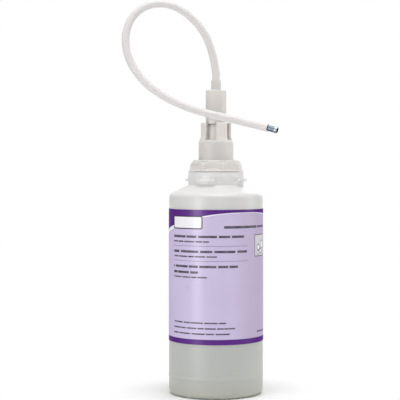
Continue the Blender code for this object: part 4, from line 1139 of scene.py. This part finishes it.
def floor_material():
    """Pale floor that keeps the pack's shadow and fades into the white behind it."""
    material, tree, shader = new_material("pale_floor")
    place = object_place(tree)
    shade = ramp(tree, noise(tree, place, 3.0, 2.0), 0.3, 0.7, 0.93, 0.95)
    tone = add_node(tree, "ShaderNodeCombineColor", {"Red": shade, "Green": shade, "Blue": shade})
    tree.links.new(tone.outputs["Color"], shader.inputs["Base Color"])
    shader.inputs["Roughness"].default_value = 0.7
    distance = vector_maths(tree, "LENGTH", place)
    far = ramp(tree, distance, *FLOOR_FADE)
    seen = maths(tree, "MULTIPLY", far, straight_rays(tree))
    glow = add_node(tree, "ShaderNodeEmission", {"Color": (1, 1, 1, 1), "Strength": 1.0})
    mixed = add_node(tree, "ShaderNodeMixShader", {0: seen, 1: shader.outputs[0], 2: glow.outputs[0]})
    tree.links.new(mixed.outputs[0], tree.nodes["Material Output"].inputs["Surface"])
    return material


def make_world(strength):
    """Even light from all round, and white where the camera or a reflection looks past the pack."""
    world = bpy.data.worlds.new("studio")
    bpy.context.scene.world = world
    world.use_nodes = True
    tree = world.node_tree
    seen = straight_rays(tree)
    even = add_node(tree, "ShaderNodeBackground", {"Color": (1, 1, 1, 1), "Strength": strength})
    white = add_node(tree, "ShaderNodeBackground", {"Color": (1, 1, 1, 1), "Strength": 1.0})
    mixed = add_node(tree, "ShaderNodeMixShader", {0: seen, 1: even.outputs[0], 2: white.outputs[0]})
    tree.links.new(mixed.outputs[0], tree.nodes["World Output"].inputs["Surface"])


LIGHT_MIDDLE = (0, 0, 0.15)
LAMPS = {
    # place, target, width and height in metres
    "key": ((-0.62, -0.66, 0.26), LIGHT_MIDDLE, 0.5, 0.5),
    "strip": ((-0.36, -0.37, 0.112), (0, 0, 0.112), 0.15, 0.22),
    "right": ((1.25, 0.0, 0.4), LIGHT_MIDDLE, 0.6, 0.8),
    "front": ((0.3, -1.4, 0.5), LIGHT_MIDDLE, 0.8, 0.8),
    "back": ((0.2, 1.2, 0.8), LIGHT_MIDDLE, 0.8, 0.8),
    "top": ((0.0, -0.2, 1.3), LIGHT_MIDDLE, 1.0, 1.0),
}


def add_softbox(name, place, target, width, height, power):
    """An area lamp that faces its target and doesn't show itself to the camera."""
    light = bpy.data.lights.new(name, "AREA")
    adjust(light, shape="RECTANGLE", size=width, size_y=height, energy=power)
    turn = (Vector(place) - Vector(target)).to_track_quat("Z", "Y").to_euler()
    return adjust(add_object(name, light), location=place, rotation_euler=turn, visible_camera=False)


class SOAP_PACK_OT_stage(bpy.types.Operator):
    """Camera, floor and soft studio light"""

    bl_idname = "soap_pack.stage"
    bl_label = "Stage"

    def execute(self, context):
        sizes = context.scene.soap_stage
        camera = bpy.data.cameras.new("camera")
        shifts = {"shift_x": sizes.shift_right, "shift_y": sizes.shift_up}
        eye = add_object("camera", adjust(camera, lens=sizes.lens, sensor_width=36, **shifts))
        place = (0, -sizes.distance, sizes.eye_height)
        context.scene.camera = adjust(eye, location=place, rotation_euler=(radians(90), 0, 0))

        shape = bmesh.new()
        bmesh.ops.create_grid(shape, x_segments=8, y_segments=8, size=sizes.floor_reach)
        floor = as_object("floor", shape)
        floor.data.materials.append(floor_material())

        make_world(sizes.ambient)
        lamps = {name: add_softbox(name, *lamp, getattr(sizes, name)) for name, lamp in LAMPS.items()}
        lamps["strip"].visible_diffuse = False
        context.scene.view_settings.view_transform = "Standard"
        return {"FINISHED"}


class SOAP_PACK_PT_panel(bpy.types.Panel):
    """Lists the pack's pieces"""

    bl_idname = "SOAP_PACK_PT_panel"
    bl_label = "Soap Pack"
    bl_space_type = "VIEW_3D"
    bl_region_type = "UI"
    bl_category = "Soap Pack"

    def draw(self, context):
        for piece in PIECES:
            self.layout.operator(piece.bl_idname)


SETTINGS = {
    "soap_bottle": BottleSettings,
    "soap_label": LabelSettings,
    "soap_pump": PumpSettings,
    "soap_tube": TubeSettings,
    "soap_stage": StageSettings,
}
PIECES = (
    SOAP_PACK_OT_stage, SOAP_PACK_OT_tube, SOAP_PACK_OT_bottle, SOAP_PACK_OT_label, SOAP_PACK_OT_soap,
    SOAP_PACK_OT_cap, SOAP_PACK_OT_collar, SOAP_PACK_OT_head, SOAP_PACK_OT_spring,
    SOAP_PACK_OT_pump_inside,
)
CLASSES = (*SETTINGS.values(), *PIECES, SOAP_PACK_PT_panel)


def register():
    for cls in CLASSES:
        bpy.utils.register_class(cls)
    for name, group in SETTINGS.items():
        setattr(bpy.types.Scene, name, PointerProperty(type=group))


def unregister():
    for name in SETTINGS:
        delattr(bpy.types.Scene, name)
    for cls in reversed(CLASSES):
        bpy.utils.unregister_class(cls)


def main():
    register()
    for piece in PIECES:
        getattr(bpy.ops.soap_pack, piece.bl_idname.split(".")[1])()


if __name__ == "__main__":
    main()
